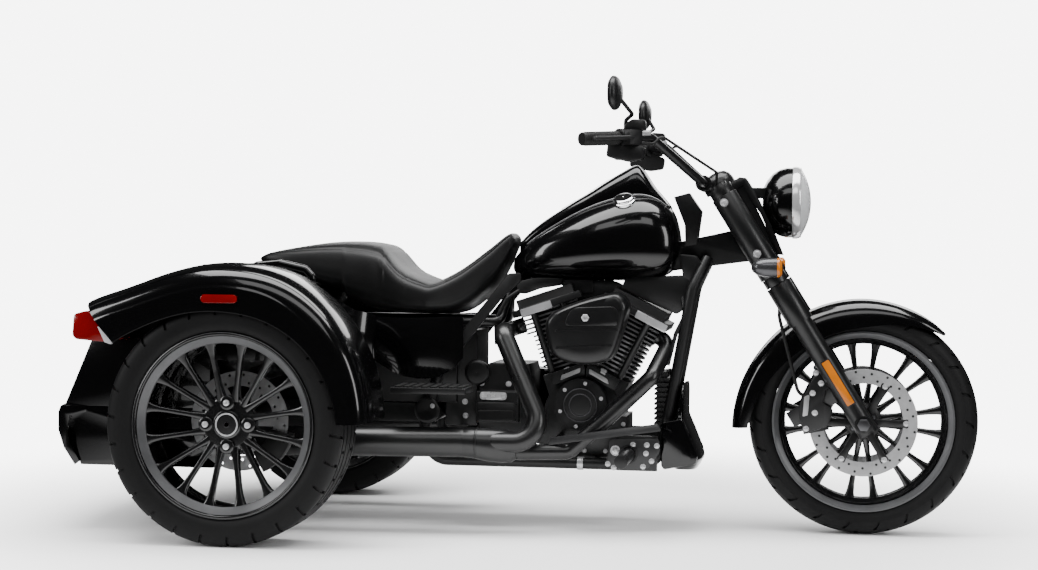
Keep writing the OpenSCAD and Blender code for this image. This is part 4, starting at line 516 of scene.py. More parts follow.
# %% Seat
seat_shares = [[0, 0.6, 0.7, 0.79], [0.05, 0.72, 0.66, 0.84], [0.13, 0.8, 0.56, 0.9], [0.27, 0.87, 0.34, 0.98],
    [0.38, 0.92, 0.14, 1], [0.46, 0.95, 0.05, 0.975], [0.51, 0.98, 0.02, 0.905], [0.58, 1, 0, 0.63],
    [0.66, 1, 0, 0.49], [0.71, 0.98, 0, 0.468], [0.8, 0.8, 0.03, 0.64], [0.9, 0.6, 0.3, 0.92],
    [0.96, 0.48, 0.64, 1.1], [0.985, 0.44, 0.86, 1.14], [1, 0.38, 0.98, 1.12]]
seat_rear, seat_low, seat_rise, seat_half = rear_x - 66, 604, 206, 190
seat_length = front_x - 992 - seat_rear
seat_sides, seam_press = 112, 2.6
deck_rear, deck_front, deck_high, deck_low = 112, 160, 742, 668

def deck_z(x):
    return deck_high + (x - rear_x + deck_rear)*(deck_low - deck_high)/(deck_front + deck_rear)

def seat_ring(w):
    x = seat_rear + seat_length*w[0]
    low = seat_low + seat_rise*w[2]
    if x < rear_x + deck_front + 42:
        low = max(low, deck_z(x) + 0.3)
    high = max(seat_low + seat_rise*w[3], low + 5)
    e = max(float(drawn_in(w[0], 0.045, 0.02)), 0.1)
    middle = (low + high)/2
    ring = round_ring(x, seat_half*w[1]*(0.75 + 0.25*e), low, middle, middle + (high - middle)*e, 0.55,
        seat_sides)
    a = np.linspace(0, 2*math.pi, seat_sides, endpoint=False)
    top_seam = np.exp(-((np.abs(np.degrees(a) - 90) - 58)/2.2)**2)
    skirt_seam = np.exp(-((np.abs(np.degrees(a) - 90) - 98)/2.0)**2)
    across = sum(np.exp(-((w[0] - s)/0.0045)**2) for s in (0.515, 0.60))*(np.sin(a) > 0.05)
    press = seam_press*np.maximum(np.maximum(top_seam, 0.6*skirt_seam), across)
    out = ring - np.array([x, 0, middle])
    length = np.linalg.norm(out, axis=1, keepdims=True)
    return ring - out/np.maximum(length, 1e-6)*press[:, None]

seat = skin("seat_cover", np.array([seat_ring(w) for w in rows(seat_shares, 190)])*mm, seat_vinyl, "chassis",
    smooth=60, replaced=["seat"], slot="seat_vinyl")
print("seat", len(seat.data.polygons), "faces")

# %% [markdown]
# ## Fenders
# Each rear fender is a thin pressed shell round its wheel. Its table gives the crown and the lip as radii
# about the axle, and its section runs from the lip up the flat side and over the crown to the body. The
# side has a shallow step that follows the arch, and the lip is rolled to a bead.

# %% Rear fenders
fender_shares = [[0, 0.92, 0.9], [0.1, 0.93, 0.885], [0.25, 0.955, 0.875], [0.45, 1, 0.865], [0.62, 1.005, 0.865],
    [0.78, 1.02, 0.905], [0.9, 1.075, 0.965], [1, 1.18, 1.05]]
section_shares = [[1, 0], [1, 0.25], [1, 0.45], [0.985, 0.62], [0.94, 0.78], [0.86, 0.9], [0.74, 0.97], [0.58, 1],
    [0.38, 1], [0.18, 0.985], [0, 0.96], [0, 0.6]]
fender_in, fender_out, lip_r, crown_r = 430.3, 673, 346, 426
step_deep, step_down, bead_out = 2.2, 62, 1.6

def fender_sheet(inset):
    across = np.clip(rows(section_shares, 110), 0, 1)
    for _ in range(40):
        across[1:-1] = (across[:-2] + 2*across[1:-1] + across[2:])/4
    sheet = []
    for w in rows(fender_shares, 150):
        low, high = lip_r*w[2], crown_r*w[1] - inset
        r = low + (high - low)*across[:, 1]
        angle = np.radians(2 + 142*w[0] - 4*max(w[0] - 0.84, 0)/0.16*across[:, 1])
        step = step_deep/(1 + np.exp(-(r - high + step_down)/1.6))*(across[:, 0] > 0.9)
        bead = bead_out*np.exp(-((r - low - 5)/5.0)**2)
        y = fender_in + inset + (fender_out - 2*inset - fender_in)*across[:, 0] - step*(across[:, 1] < 0.9) \
            + bead - 1.2
        y = np.maximum(y, fender_in + inset)
        sheet.append(np.stack([rear_x + r*np.cos(angle), y, rear_z + r*np.sin(angle)], 1))
    return np.array(sheet)*mm

shell_pair("rear_fender_%s_shell", fender_sheet(0), fender_sheet(6), 50,
    {side: ["rear_fender_" + side] for side, flip in left_right})

# %% Front fender
front_fender_shares = [[0, 0.975, 0.1, 0.55], [0.1, 0.985, 0.42, 0.86], [0.3, 0.995, 0.92, 1], [0.5, 1, 1, 1],
    [0.7, 1.01, 0.92, 1], [0.88, 1.04, 0.72, 1], [1, 1.065, 0.55, 0.96]]
front_crown_r, front_skirt, front_half = 346, 84, 82

def front_sheet(wall):
    sheet = []
    a = np.linspace(0, math.pi, 61)
    c, s = powered(np.cos(a), 0.7), powered(np.sin(a), 0.7)
    for w in rows(front_fender_shares, 120):
        angle = math.radians(48 + 136*w[0])
        r = front_crown_r*w[1] - wall - (front_skirt*w[2] - wall)*(1 - s)
        half = front_half*w[3] - wall
        sheet.append(np.stack([front_x + r*math.cos(angle), half*c, front_z + r*math.sin(angle)], 1))
    return np.array(sheet)*mm

front_fender = shell("front_fender_shell", front_sheet(0), front_sheet(4), gloss_black, "steering", smooth=50,
    replaced=["front_fender"], slot="gloss_black")
print("front fender", len(front_fender.data.polygons), "faces")

# %% [markdown]
# ## Side covers and chin fairing
# The covers under the seat are shallow bulged panels, and the chin fairing is a pressed box ahead of the
# frame's down tubes. Both repeat the solid model's tables at a finer pitch.

# %% Side covers
cover_shares = [[0, 0.3, 0.98, 0.7], [0.3, 0.06, 0.97, 1], [0.6, 0, 0.98, 0.9], [0.85, 0.12, 1, 0.4],
    [1, 0.34, 1, 0]]
cover_rear, cover_y, cover_bulge, cover_low, cover_rise = rear_x + 290, 170, 26, 424, 176
cover_length = front_x - 1120 - cover_rear

def cover_sheet(inset):
    t = np.linspace(0, 1, 41)
    return np.array([np.stack([np.full(41, cover_rear + cover_length*w[0]),
        cover_y + cover_bulge*w[3]*np.sin(math.pi*(0.2 + 0.6*t)) - inset,
        cover_low + cover_rise*(w[1] + (w[2] - w[1])*t)], 1) for w in rows(cover_shares, 60)])*mm

shell_pair("side_cover_%s", cover_sheet(0), cover_sheet(6), 45, {"left": ["side_covers"]})

# %% Chin fairing
chin_shares = [[0, 0.8, 0, 0.84], [0.06, 0.94, 0, 0.94], [0.15, 1, 0, 1], [0.4, 0.98, 0, 0.72],
    [0.6, 0.92, 0.02, 0.46], [0.68, 0.88, 0.07, 0.43], [0.9, 0.84, 0.2, 0.43], [1, 0.72, 0.26, 0.41]]
chin_x, chin_deep, chin_half, chin_low, chin_rise = 442, 80, 138, 178, 236

def chin_ring(w):
    a = np.linspace(0, 2*math.pi, 72, endpoint=False)
    c, s = powered(np.cos(a), 0.6), powered(np.sin(a), 0.6)
    x = chin_x + chin_deep*(w[2] + (w[3] - w[2])*(c + 1)/2)
    return np.stack([x, chin_half*w[1]*s, np.full(72, chin_low + chin_rise*w[0])], 1)

chin = skin("chin_fairing_shell", np.array([chin_ring(w) for w in rows(chin_shares, 70)])*mm, gloss_black, "chassis",
    smooth=45, replaced=["chin_fairing"], slot="gloss_black")
print("chin fairing", len(chin.data.polygons), "faces")

# %% [markdown]
# ## Tubes, pipes and hoses
# Bent tubes are swept along straight runs joined by round bends, at the same points as the solid model,
# with more sides so that their outlines read as round. One helper makes the bend line, another the skin.

# %% Frame tubes and handlebar
def front_place(back, y, z):
    return np.array([front_x - back, y, z])

def tubes(name, lines, r, material, body, replaced=(), slot=None, sides=28):
    v, f = gather([tube_part(np.asarray(line)*mm, r*mm, sides) for line in lines])
    return finish_mesh(name, v, f, material, body, smooth=50, replaced=replaced, slot=slot)

cradle_path = [front_place(*p) for p in ((440, 44.3, 772), (480, 86, 690), (545, 86, 315), (569, 128, 190),
    (1210, 128, 190), (1240, 128, 270), (1180, 128, 520), (1180, 128, 569.7))]
cradle_line = bend_line(cradle_path, 60)
cross_xs = [front_x - 569 - 60 + (-1210 + 60 + 569 + 60)*t for t in (0.22, 0.78)]
cross_tubes = [[(x, y, 190) for y in (-128, -40, 40, 128)] for x in cross_xs]
tubes("frame_cradle_tubes", [cradle_line, mirrored(cradle_line)] + cross_tubes, 16, powder_black, "chassis",
    ["frame_cradle"], "frame_black")

bar_end, bar_knee, bar_foot = front_place(756, 430, 1088), front_place(590, 250, 1104), front_place(456, 72, 985)
bar_path = [mirrored(bar_end), mirrored(bar_knee), mirrored(bar_foot), bar_foot, bar_knee, bar_end]
tubes("handlebar_tube", [bend_line(bar_path, 60)], 12.7, satin_black, "steering", ["handlebar"], "fork_black")
print("frame tubes and handlebar made")

# %% Exhaust headers
crank = front_place(787, 0, 322)
front_lean, rear_lean = 26.5, -18.5

def lean_ways(lean):
    c, s = math.cos(math.radians(lean)), math.sin(math.radians(lean))
    return np.array([s, 0, c]), np.array([c, 0, -s])

def port(lean, side, reach):
    up, across = lean_ways(lean)
    return crank + [0, -60, 0] + 296*up + side*(84.3 + reach)*across

muffler_start, muffler_end = front_place(1055, -286, 258), front_place(1900, -286, 244)
muffler_way = unit(muffler_end - muffler_start)
front_pipe = [port(front_lean, 1, 0), port(front_lean, 1, 38), front_place(585, -173.5, 440),
    front_place(730, -196, 300), front_place(812, -207.25, 230), muffler_start + [52, 22.5, -28],
    muffler_start + [16, 0, -12]]
rear_pipe = [port(rear_lean, -1, 0), port(rear_lean, -1, 38), front_place(1006, -173.5, 556),
    muffler_start - muffler_way*197, muffler_start]
rear_line = bend_line(rear_pipe, [34, 34, 62])
tubes("exhaust_pipes", [bend_line(front_pipe, 34), rear_line], 22.5, pipe_black, "chassis", ["exhaust_headers"],
    "exhaust_black", sides=32)
print("exhaust headers made")

# %% Brake hose
def fork_point(s, ahead=0.0, y=0.0):
    a = math.radians(32)
    return np.array([front_x - s*math.sin(a) + ahead*math.cos(a), y, front_z + s*math.cos(a) + ahead*math.sin(a)])

def hose_radial(r):
    a = math.radians(156)
    return np.array([front_x + r*math.cos(a), -92, front_z + r*math.sin(a)])

hose_path = [fork_point(453.7, -13, -76), fork_point(424, -13, -76), fork_point(372, -46, -92), hose_radial(198),
    hose_radial(168.3)]
hose_line = bend_line(hose_path, 30)
hose = tubes("brake_hose_line", [hose_line], 5, soft_rubber, "steering", ["brake_hose"], "hose_rubber", sides=16)

# %% [markdown]
# ## Plain machined pieces
# These nodes keep the solid model's shape and get a narrow bevel and their own finish.

# %% Dress the rest
plain_finishes = {
    "front_axle": (dark_steel, 1.0), "fork_legs": (satin_black, 1.5), "fork_clamps": (satin_black, 2.0),
    "fork_covers": (satin_black, 1.5), "front_calipers": (engine_black, 2.0), "headlamp_shell": (gloss_black, 1.0),
    "headlamp_ring": (ring_chrome, 1.5), "grips": (soft_rubber, 1.5), "hand_controls": (control_black, 2.0),
    "turn_signals": (signal_grey, 1.0), "turn_signal_lenses": (amber_lens, 1.5), "frame_spine": (satin_black, 2.0),
    "engine_case": (engine_black, 2.5), "rocker_boxes": (engine_black, 3.0), "gearbox": (engine_black, 3.0),
    "primary_cover": (gloss_black, 4.0), "mufflers": (pipe_black, 1.5), "crossover_pipe": (pipe_black, 0),
    "rear_body": (gloss_black, 2.0), "trunk_lid": (gloss_black, 3.0), "side_markers": (red_lens, 1.5),
    "rear_bumper": (gloss_black, 3.0), "rear_axle": (powder_black, 2.0), "rear_calipers": (engine_black, 2.0),
    "battery_box": (control_black, 2.0), "passenger_boards": (control_black, 2.0),
    "foot_controls": (control_black, 2.0), "rear_disc_left": (disc_steel, 0.4), "rear_disc_right": (disc_steel, 0.4)}
for node, (material, bevel) in plain_finishes.items():
    dressed(node, material, bevel)
print(len(plain_finishes), "nodes dressed")

# %% [markdown]
# ## Tyres
# A tyre is one section turned about its axle, but its tread is what the eye knows. The skin's columns
# are laid along the grooves, slanted as they cross the shoulder, so that each groove has clean walls
# without a fine mesh all over. Rings of small steps on the side stand for the moulded bead and wear lines.

# %% Tyre builder
def tyre_profile(bead_r, top_r, half, shares, n=260):
    side = rows(shares, n)
    out = np.stack([bead_r + (top_r - bead_r)*side[:, 0], half*side[:, 1]], 1)
    loop = np.concatenate([out, (out*[1, -1])[::-1]])
    run = np.concatenate([[0], np.cumsum(np.linalg.norm(np.diff(loop, axis=0), axis=1))])
    return loop, run

def tyre(name, node, centre, bead_r, top_r, half, shares, body, blocks, rings, cuts, slant, depth):
    profile, run = tyre_profile(bead_r, top_r, half, shares)
    middle, wall = run[-1]/2, 0.7
    places = set(np.linspace(0, run[-1], 46))
    for s in both:
        for at, wide in rings:
            edge = middle + s*at
            places |= {edge - wide/2 - wall, edge - wide/2, edge + wide/2, edge + wide/2 + wall}
        for a, b in cuts:
            places |= {middle + s*(a - wall), middle + s*a, middle + s*b, middle + s*(b + wall)}
    at = np.array(sorted(p for p in places if 0 <= p <= run[-1]))
    pts = np.stack([np.interp(at, run, profile[:, k]) for k in (0, 1)], 1)
    slope = np.gradient(pts, axis=0)
    normal = np.stack([slope[:, 1], -slope[:, 0]], 1)
    normal /= np.linalg.norm(normal, axis=1, keepdims=True)
    normal *= np.where(normal[:, :1]*(pts[:, :1] - bead_r) + normal[:, 1:]*pts[:, 1:] < 0, -1, 1)
    off = at - middle
    base = np.zeros(len(at))
    for place, wide in rings:
        base = np.where(np.abs(np.abs(off) - place) <= wide/2 + 0.01, depth, base)
    moulding = 0.8*(np.abs(pts[:, 0] - (bead_r + 16)) < 3) + 0.7*(np.abs(pts[:, 0] - (bead_r + 30)) < 1.6)
    lip_r, lip_y = bead_r, half*shares[0][1] - 12
    columns = []
    for k in range(blocks):
        for j, start in enumerate((0.0, 0.02, 0.20, 0.22, 0.5, 0.75)):
            cut = np.zeros(len(at))
            if j in (1, 2):
                for n, (a, b) in enumerate(cuts):
                    here = (np.abs(off) >= a - 0.01) & (np.abs(off) <= b + 0.01)
                    cut = np.where(here & ((k + n) % 2 == 0), depth, cut)
            lean = slant*np.abs(off)/run[-1]/blocks*np.where(off > 0, 1, 1.04)
            angle = 2*math.pi*((k + start)/blocks + lean)
            p = pts + normal*(moulding - np.maximum(base, cut))[:, None]
            column = np.stack([p[:, 0]*np.cos(angle), p[:, 1], p[:, 0]*np.sin(angle)], 1)
            lips = []
            for end, y in ((-1, -lip_y), (0, lip_y)):
                a = math.atan2(column[end, 2], column[end, 0])
                lips.append([lip_r*math.cos(a), y, lip_r*math.sin(a)])
            columns.append(np.concatenate([column, lips]))
    loop = np.array(columns + columns[:1])
    o = finish_mesh(name, (loop.reshape(-1, 3) + centre)*mm, skin_faces(*loop.shape[:2]), tyre_rubber, body,
        smooth=32, replaced=[node], slot="tyre")
    print(name, len(o.data.polygons), "faces")

# %% Tyres
front_tyre_shares = [[0, 0.74], [0.07, 0.84], [0.25, 0.97], [0.45, 1], [0.64, 0.95], [0.82, 0.77], [0.94, 0.48],
    [1, 0.16]]
rear_tyre_shares = [[0, 0.85], [0.08, 0.92], [0.3, 0.99], [0.55, 1], [0.78, 0.97], [0.91, 0.9], [0.98, 0.79],
    [1, 0.6]]
front_centre = np.array([front_x, 0, front_z])
rear_centres = {side: np.array([rear_x, flip*rear_y, rear_z]) for side, flip in left_right}
tyre("front_tyre_treaded", "front_tyre", front_centre, 254.2, 318.9, 64.8, front_tyre_shares, "front_wheel", 44,
    [(14, 4)], [(24, 50), (56, 82)], slant=3.0, depth=5)
for side, flip in left_right:
    tyre("rear_tyre_%s_treaded" % side, "rear_tyre_" + side, rear_centres[side], 246.2, 320.5, 102.3,
        rear_tyre_shares, "rear_wheel_" + side, 52, [(20, 8), (58, 8)], [(30, 50), (68, 118)], slant=1.2, depth=6)

# %% [markdown]
# ## Wheels
# The cast wheels have thin paired spokes that swell where they meet the hub and the rim. Each spoke is
# a skin through rounded rings along its length. The rim is a turned section, and the hubs, bosses and
# caps are turned too, then all parts of one wheel are gathered into one mesh with a finish for each part.

# %% Wheel parts
def turned(profile, segments=128):
    profile = np.asarray(profile, float)
    a = np.linspace(0, 2*math.pi, segments + 1)
    grid = np.stack([np.outer(np.cos(a), profile[:, 0]), np.outer(np.sin(a), profile[:, 0]),
        np.tile(profile[:, 1], (segments + 1, 1))], 2)
    return grid, skin_faces(segments + 1, len(profile))

def rounded(profile, r, steps=4):
    # each corner of the outline is replaced by a short curve
    profile = [np.array(p, float) for p in profile]
    out = []
    for i, p in enumerate(profile):
        a, b = profile[i - 1], profile[(i + 1) % len(profile)]
        d, e = a - p, b - p
        k = min(r, 0.45*np.linalg.norm(d), 0.45*np.linalg.norm(e))
        s, t = p + unit(d)*k, p + unit(e)*k
        out += [(1 - u)**2*s + 2*u*(1 - u)*p + u**2*t for u in np.linspace(0, 1, steps)]
    return np.array(out)

def knob(profile, r):
    # a rounded profile that stays open at the axis
    return rounded(profile, r)[1:-1]

def spoke_part(foot, tip, widths, depths, n=25, sides=20, power=0.55):
    foot, tip = np.array(foot, float), np.array(tip, float)
    along = unit(tip - foot)
    sideways = unit(np.cross([0, 0, 1], along))
    deep = np.cross(along, sideways)
    a = np.linspace(0, 2*math.pi, sides, endpoint=False)
    c, s = powered(np.cos(a), power), powered(np.sin(a), power)
    t = np.linspace(0, 1, n)
    half_w, half_d = (np.interp(t, np.linspace(0, 1, len(v)), v)/2 for v in (widths, depths))
    rings = np.array([foot + (tip - foot)*u + np.outer(c*w, sideways) + np.outer(s*d, deep)
        for u, w, d in zip(t, half_w, half_d)])
    return rings, closed_faces(n, sides)

def polar(r, degrees, z):
    return [r*math.cos(math.radians(degrees)), r*math.sin(math.radians(degrees)), z]

def bolt_part(x, y, z, r, h):
    profile = [[0, h], [r*0.55, h], [r*0.62, h*0.93], [r*0.98, h*0.86], [r, 0], [0, 0]]
    grid, faces = turned(profile, 12)
    return grid + np.array([x, y, z]), faces

def wheel(name, node, body, centre, flip, layers):
    # the parts are drawn with the axle along Z, and laid over here so that it points along Y
    verts, faces = gather([part for material, parts in layers for part in parts])
    mats = [k for k, (material, parts) in enumerate(layers) for v, f in parts for _ in f]
    world = np.stack([verts[:, 0] + centre[0], flip*verts[:, 2] + centre[1], -verts[:, 1] + centre[2]], 1)
    o = finish_mesh(name, world*mm, faces, [material for material, parts in layers], body, smooth=35,
        replaced=[node], slot="wheel_black", face_mats=mats)
    print(name, len(o.data.polygons), "faces")

def rim_section(flange, half):
    shares = [[1, -1], [1, 1], [0.968, 1], [0.95, 0.86], [0.91, 0.6], [0.895, 0.2], [0.895, -0.2], [0.91, -0.6],
        [0.95, -0.86], [0.968, -1]]
    return rounded([[s[0]*flange, s[1]*half] for s in shares], 4)

# %% Front wheel
front_widths, front_depths = [24, 18, 15, 14.5, 14.5, 15, 17, 22, 34], [34, 27, 22, 21, 23, 30]
front_spokes = [spoke_part(polar(46, k*45 + s*9.6, 0), polar(229, k*45 + s*9, 0), front_widths, front_depths)
    for k in range(8) for s in both]
front_hub = [turned(rounded([[12, -76], [40, -76], [40, -24], [54, -16], [54, 16], [40, 24], [40, 76], [12, 76]], 4))]
front_barrel = [turned(rim_section(254, 53)), turned(rounded([[218, -20], [232, -32], [232, 32], [218, 20]], 4))]
front_lip = [turned(rounded([[235, s*45], [248, s*53.4], [254, s*53.4], [254, s*50], [247, s*48], [235, s*40]], 1))
    for s in both]
wheel("front_rim_cast", "front_rim", "front_wheel", front_centre, 1, [(wheel_black, front_barrel + front_spokes),
    (satin_black, front_hub), (flange_grey, front_lip)])

# %% Rear wheels
rear_depths = [30, 26, 22, 22, 26]
rear_spokes = []
for k in range(4):
    for s in both:
        for first, spread, foot_widths in ((0, 16.6, [26, 20]), (45, 6, [24, 19])):
            rear_spokes.append(spoke_part(polar(66, first + k*90 + s*spread, 33),
                polar(228, first + k*90 + s*11.25, 62), foot_widths + [16, 15, 15, 15, 17, 25, 46], rear_depths))
hub_profile = [[0, 46], [66, 46], [76, 40], [76, 12], [48, 8], [48, -62], [20, -62], [20, -177], [0, -177]]
rear_hub = [turned(rounded(hub_profile, 4)[2:-2]), turned(rounded([[38, 45], [38, 52], [30, 54], [30, 45]], 2))]
boss, boss_faces = turned(knob([[0, 0], [20, 0], [20, 8], [14, 10], [0, 10]], 2), 40)
rear_bosses = [(boss + np.array(polar(58, k*90, 45)), boss_faces) for k in range(4)]
rear_nuts = [bolt_part(*polar(58, k*90, 54), 8.5, 7) for k in range(4)]
cap_ring = [turned(rounded([[27, 53], [31, 53], [31, 56], [27, 56]], 1), 64)]
cap_face = [turned([[0, 54.6], [12, 54.5], [27.5, 53.2], [27.5, 50]], 64)]
rear_lip = [turned(rounded([[216, 74], [240, 90], [246, 95], [246, 92], [238, 84], [216, 68]], 2))]
rear_cast = [turned(rim_section(246, 95))] + rear_spokes + rear_hub + rear_bosses
for side, flip in left_right:
    wheel("rear_rim_%s_cast" % side, "rear_rim_" + side, "rear_wheel_" + side, rear_centres[side], flip,
        [(wheel_black, rear_cast), (flange_grey, rear_lip), (bright_alloy, cap_ring + rear_nuts),
        (satin_black, cap_face)])

# %% [markdown]
# ## Engine details
# The cylinders are stacks of thin fins, blackened, with the rims machined bright afterwards. On a merged
# copy of the node, each face that lies on a fin's rim takes a lighter grey metal: partly the bare edge, partly
# a painted highlight for the thin bright lines along the fin edges. The air cleaner's cover is a pressed
# teardrop: its outline is a closed curve through sixteen points, drawn in ring by ring.

# %% Fins with bright rims
vee_tilt, barrel_top = 0.0698, 258

# the fin rims take the second material, a lighter grey: bare edge with a painted highlight
fins = dressed("cylinders", engine_black, 0, extra=[edge_highlight_metal])
for poly in fins.data.polygons:
    d = np.array(poly.center)/mm - crank
    ahead = d @ np.array([math.cos(vee_tilt), 0, -math.sin(vee_tilt)]) > 0
    up, across = lean_ways(front_lean if ahead else rear_lean)
    s = d @ up
    barrel_rim = s < barrel_top and np.linalg.norm(d - up*s) > 77
    head_rim = s >= barrel_top and (abs(d @ across) > 83.5 or abs(d[1]) > 75.5)
    if abs(np.array(poly.normal) @ up) < 0.3 and (barrel_rim or head_rim):
        poly.material_index = 1
print("fin rims", sum(p.material_index for p in fins.data.polygons), "faces")

# %% Air cleaner
cleaner_outline = np.array([[0, 0.54], [0.03, 0.28], [0.11, 0.11], [0.3, 0.02], [0.53, 0], [0.72, 0.04], [0.83, 0.14],
    [0.92, 0.42], [0.99, 0.72], [1, 0.84], [0.94, 0.95], [0.84, 1], [0.62, 0.95], [0.36, 0.86], [0.14, 0.75],
    [0.04, 0.66]])
cleaner_rings = [[0, 0.8], [0.12, 0.94], [0.3, 1], [0.66, 1], [0.84, 0.98], [0.95, 0.93], [1, 0.86]]
panel_steps = [(1.004, 0.6), (1.006, 0.3), (1.006, 0.02)]
cleaner_x, cleaner_wide, cleaner_low, cleaner_high = front_x - 878, 232, 474, 202
cleaner_back, cleaner_deep = -134, 118

def closed_curve(points, n):
    wrapped = np.concatenate([points[-2:], points, points[:3]])
    return np.array([row_at(wrapped, 2 + i*len(points)/n) for i in range(n)])

outline = closed_curve(cleaner_outline, 120)

def cleaner_ring(depth, size):
    p = 0.5 + (outline - 0.5)*size
    y = np.full(len(p), cleaner_back - cleaner_deep*depth)
    return np.stack([cleaner_x + cleaner_wide*p[:, 0], y, cleaner_low + cleaner_high*p[:, 1]], 1)

cleaner_skin = np.array([cleaner_ring(*w) for w in [*rows(cleaner_rings, 46), *panel_steps]])
skin("air_cleaner_cover", cleaner_skin*mm, satin_black, "chassis", smooth=38, replaced=["air_cleaner"],
    slot="engine_black")
bolt, bolt_faces = turned(knob([[0, 0], [11, 0], [11, 7], [5, 8], [5, 4], [0, 4]], 1), 6)
bolt = np.stack([bolt[..., 0], -bolt[..., 2], bolt[..., 1]], -1).reshape(-1, 3)
finish_mesh("air_cleaner_bolt", (bolt + [208, -254, 606])*mm, bolt_faces, bright_alloy, "chassis")
print("air cleaner made")

# %% Intake
vee, half_vee = math.radians(4), math.radians(22.5)

def intake_point(along, up, y):
    return crank + [along*math.cos(vee) + up*math.sin(vee), y, up*math.cos(vee) - along*math.sin(vee)]

def intake_half(up):
    return up*math.tan(half_vee) - 84/math.cos(half_vee) - 0.3

intake_corners = ((-1, 284), (1, 284), (1, 320), (-1, 320))
intake_rings = [[intake_point(k*intake_half(up), up, y) for k, up in intake_corners] for y in (-140, 40)]
skin("intake_body", np.array(intake_rings)*mm, engine_black, "chassis", smooth=30, slot="engine_black")
print("intake made")

# %% [markdown]
# ## Mirrors and headlamp
# The mirror is a small closed shell on a bent stem, with its glass let into the rear face. Behind the
# headlamp's glass sits a bright dish, or the lens would show an empty bowl.

# %% Mirrors
bar_way = unit(bar_knee - bar_end)
switch_mid = bar_end + bar_way*(131 + 24)
mirror_foot = switch_mid + [0, 0, 25.3]
mirror_knee = switch_mid + [20, 14, 62]
mirror_middle = switch_mid + [-16, 112, 112]

mirror_half, mirror_high, mirror_deep = 68, 45, 34

def mirror_ring(w):
    a = np.linspace(0, 2*math.pi, 60, endpoint=False)
    x = np.full(60, -17 + mirror_deep*w[0] - 0.3)
    return mirror_middle + np.stack([x, mirror_half*w[1]*powered(np.cos(a), 0.8),
        mirror_high*w[1]*powered(np.sin(a), 0.8)], 1)

mirror_rings = np.array([mirror_ring(w) for w in rows([[0, 0.72], [0.3, 1], [0.7, 0.9], [1, 0.45]], 24)])
mirror_glass = np.array([mirror_ring([0.02 - 0.03*k, 0.70 - 0.02*k]) for k in range(2)])
stem = bend_line([mirror_foot, mirror_foot + [0, 0, 22], mirror_knee, mirror_middle], 11)
for side, flip in left_right:
    f = np.array([1, flip, 1])
    skin("mirror_shell_" + side, mirror_rings*f*mm, control_black, "steering", smooth=45,
        replaced=["mirrors"] if flip > 0 else [], slot="gloss_black")
    skin("mirror_glass_" + side, mirror_glass*f*mm, mirror_face, "steering", smooth=45)
    tubes("mirror_stem_" + side, [stem*f], 5.5, satin_black, "steering", sides=18)
print("mirrors made")

# %% Headlamp dish and lens
def forward_part(profile, x, z, segments=96):
    g, f = turned(np.asarray(profile), segments)
    return np.stack([g[..., 2] + x, g[..., 0], g[..., 1] + z], -1).reshape(-1, 3)*mm, f

lamp_x, lamp_z = front_x - 205, 933
dish = [[0.5, -58], [30, -54], [60, -38], [84, -14], [91, 0], [93, 1], [93, -1], [86, -16], [62, -41], [31, -57],
    [0.5, -61]]
finish_mesh("headlamp_dish", *forward_part(dish, lamp_x, lamp_z), lamp_silver, "steering", smooth=60)
bulb = knob([[0, -50], [14, -50], [14, -20], [9, -12], [0, -10]], 3)
finish_mesh("headlamp_bulb", *forward_part(bulb, lamp_x, lamp_z, 32), bright_alloy, "steering", smooth=50)
lens_r, dome, glass_thick = 93.8, 27, 4
ball = (lens_r**2 + dome**2)/(2*dome)
arc = [[lens_r*s, 24 + dome - ball + math.sqrt(ball**2 - (lens_r*s)**2)] for s in np.linspace(0.004, 1, 24)]
arc_back = [[p[0]*0.97, p[1] - glass_thick] for p in arc[::-1]]
finish_mesh("headlamp_glass", *forward_part(arc + arc_back, lamp_x + 0.3, lamp_z), lamp_glass, "steering",
    smooth=60, replaced=["headlamp_lens"], slot="lamp_glass")
print("headlamp made")

# %% [markdown]
# ## Bolts
# Dozens of bolt heads hold the covers on. They repeat, so a node tree makes them: it takes a cloud of
# points, each with an aim, and sets the same head on every one: a washer, and a cap with a chamfer. The
# result is turned into a plain mesh, because instances don't travel to other programs.

# %% Bolt tree
def geometry_tree(name, inputs):
    t = bpy.data.node_groups.new(name, "GeometryNodeTree")
    t.interface.new_socket(name="Geometry", in_out="INPUT", socket_type="NodeSocketGeometry")
    ids = {key: t.interface.new_socket(name=key, in_out="INPUT", socket_type="NodeSocket" + kind).identifier
        for key, kind in inputs.items()}
    t.interface.new_socket(name="Geometry", in_out="OUTPUT", socket_type="NodeSocketGeometry")
    return t, ids, *new_nodes(t.nodes, "NodeGroup", "Input", "Output")

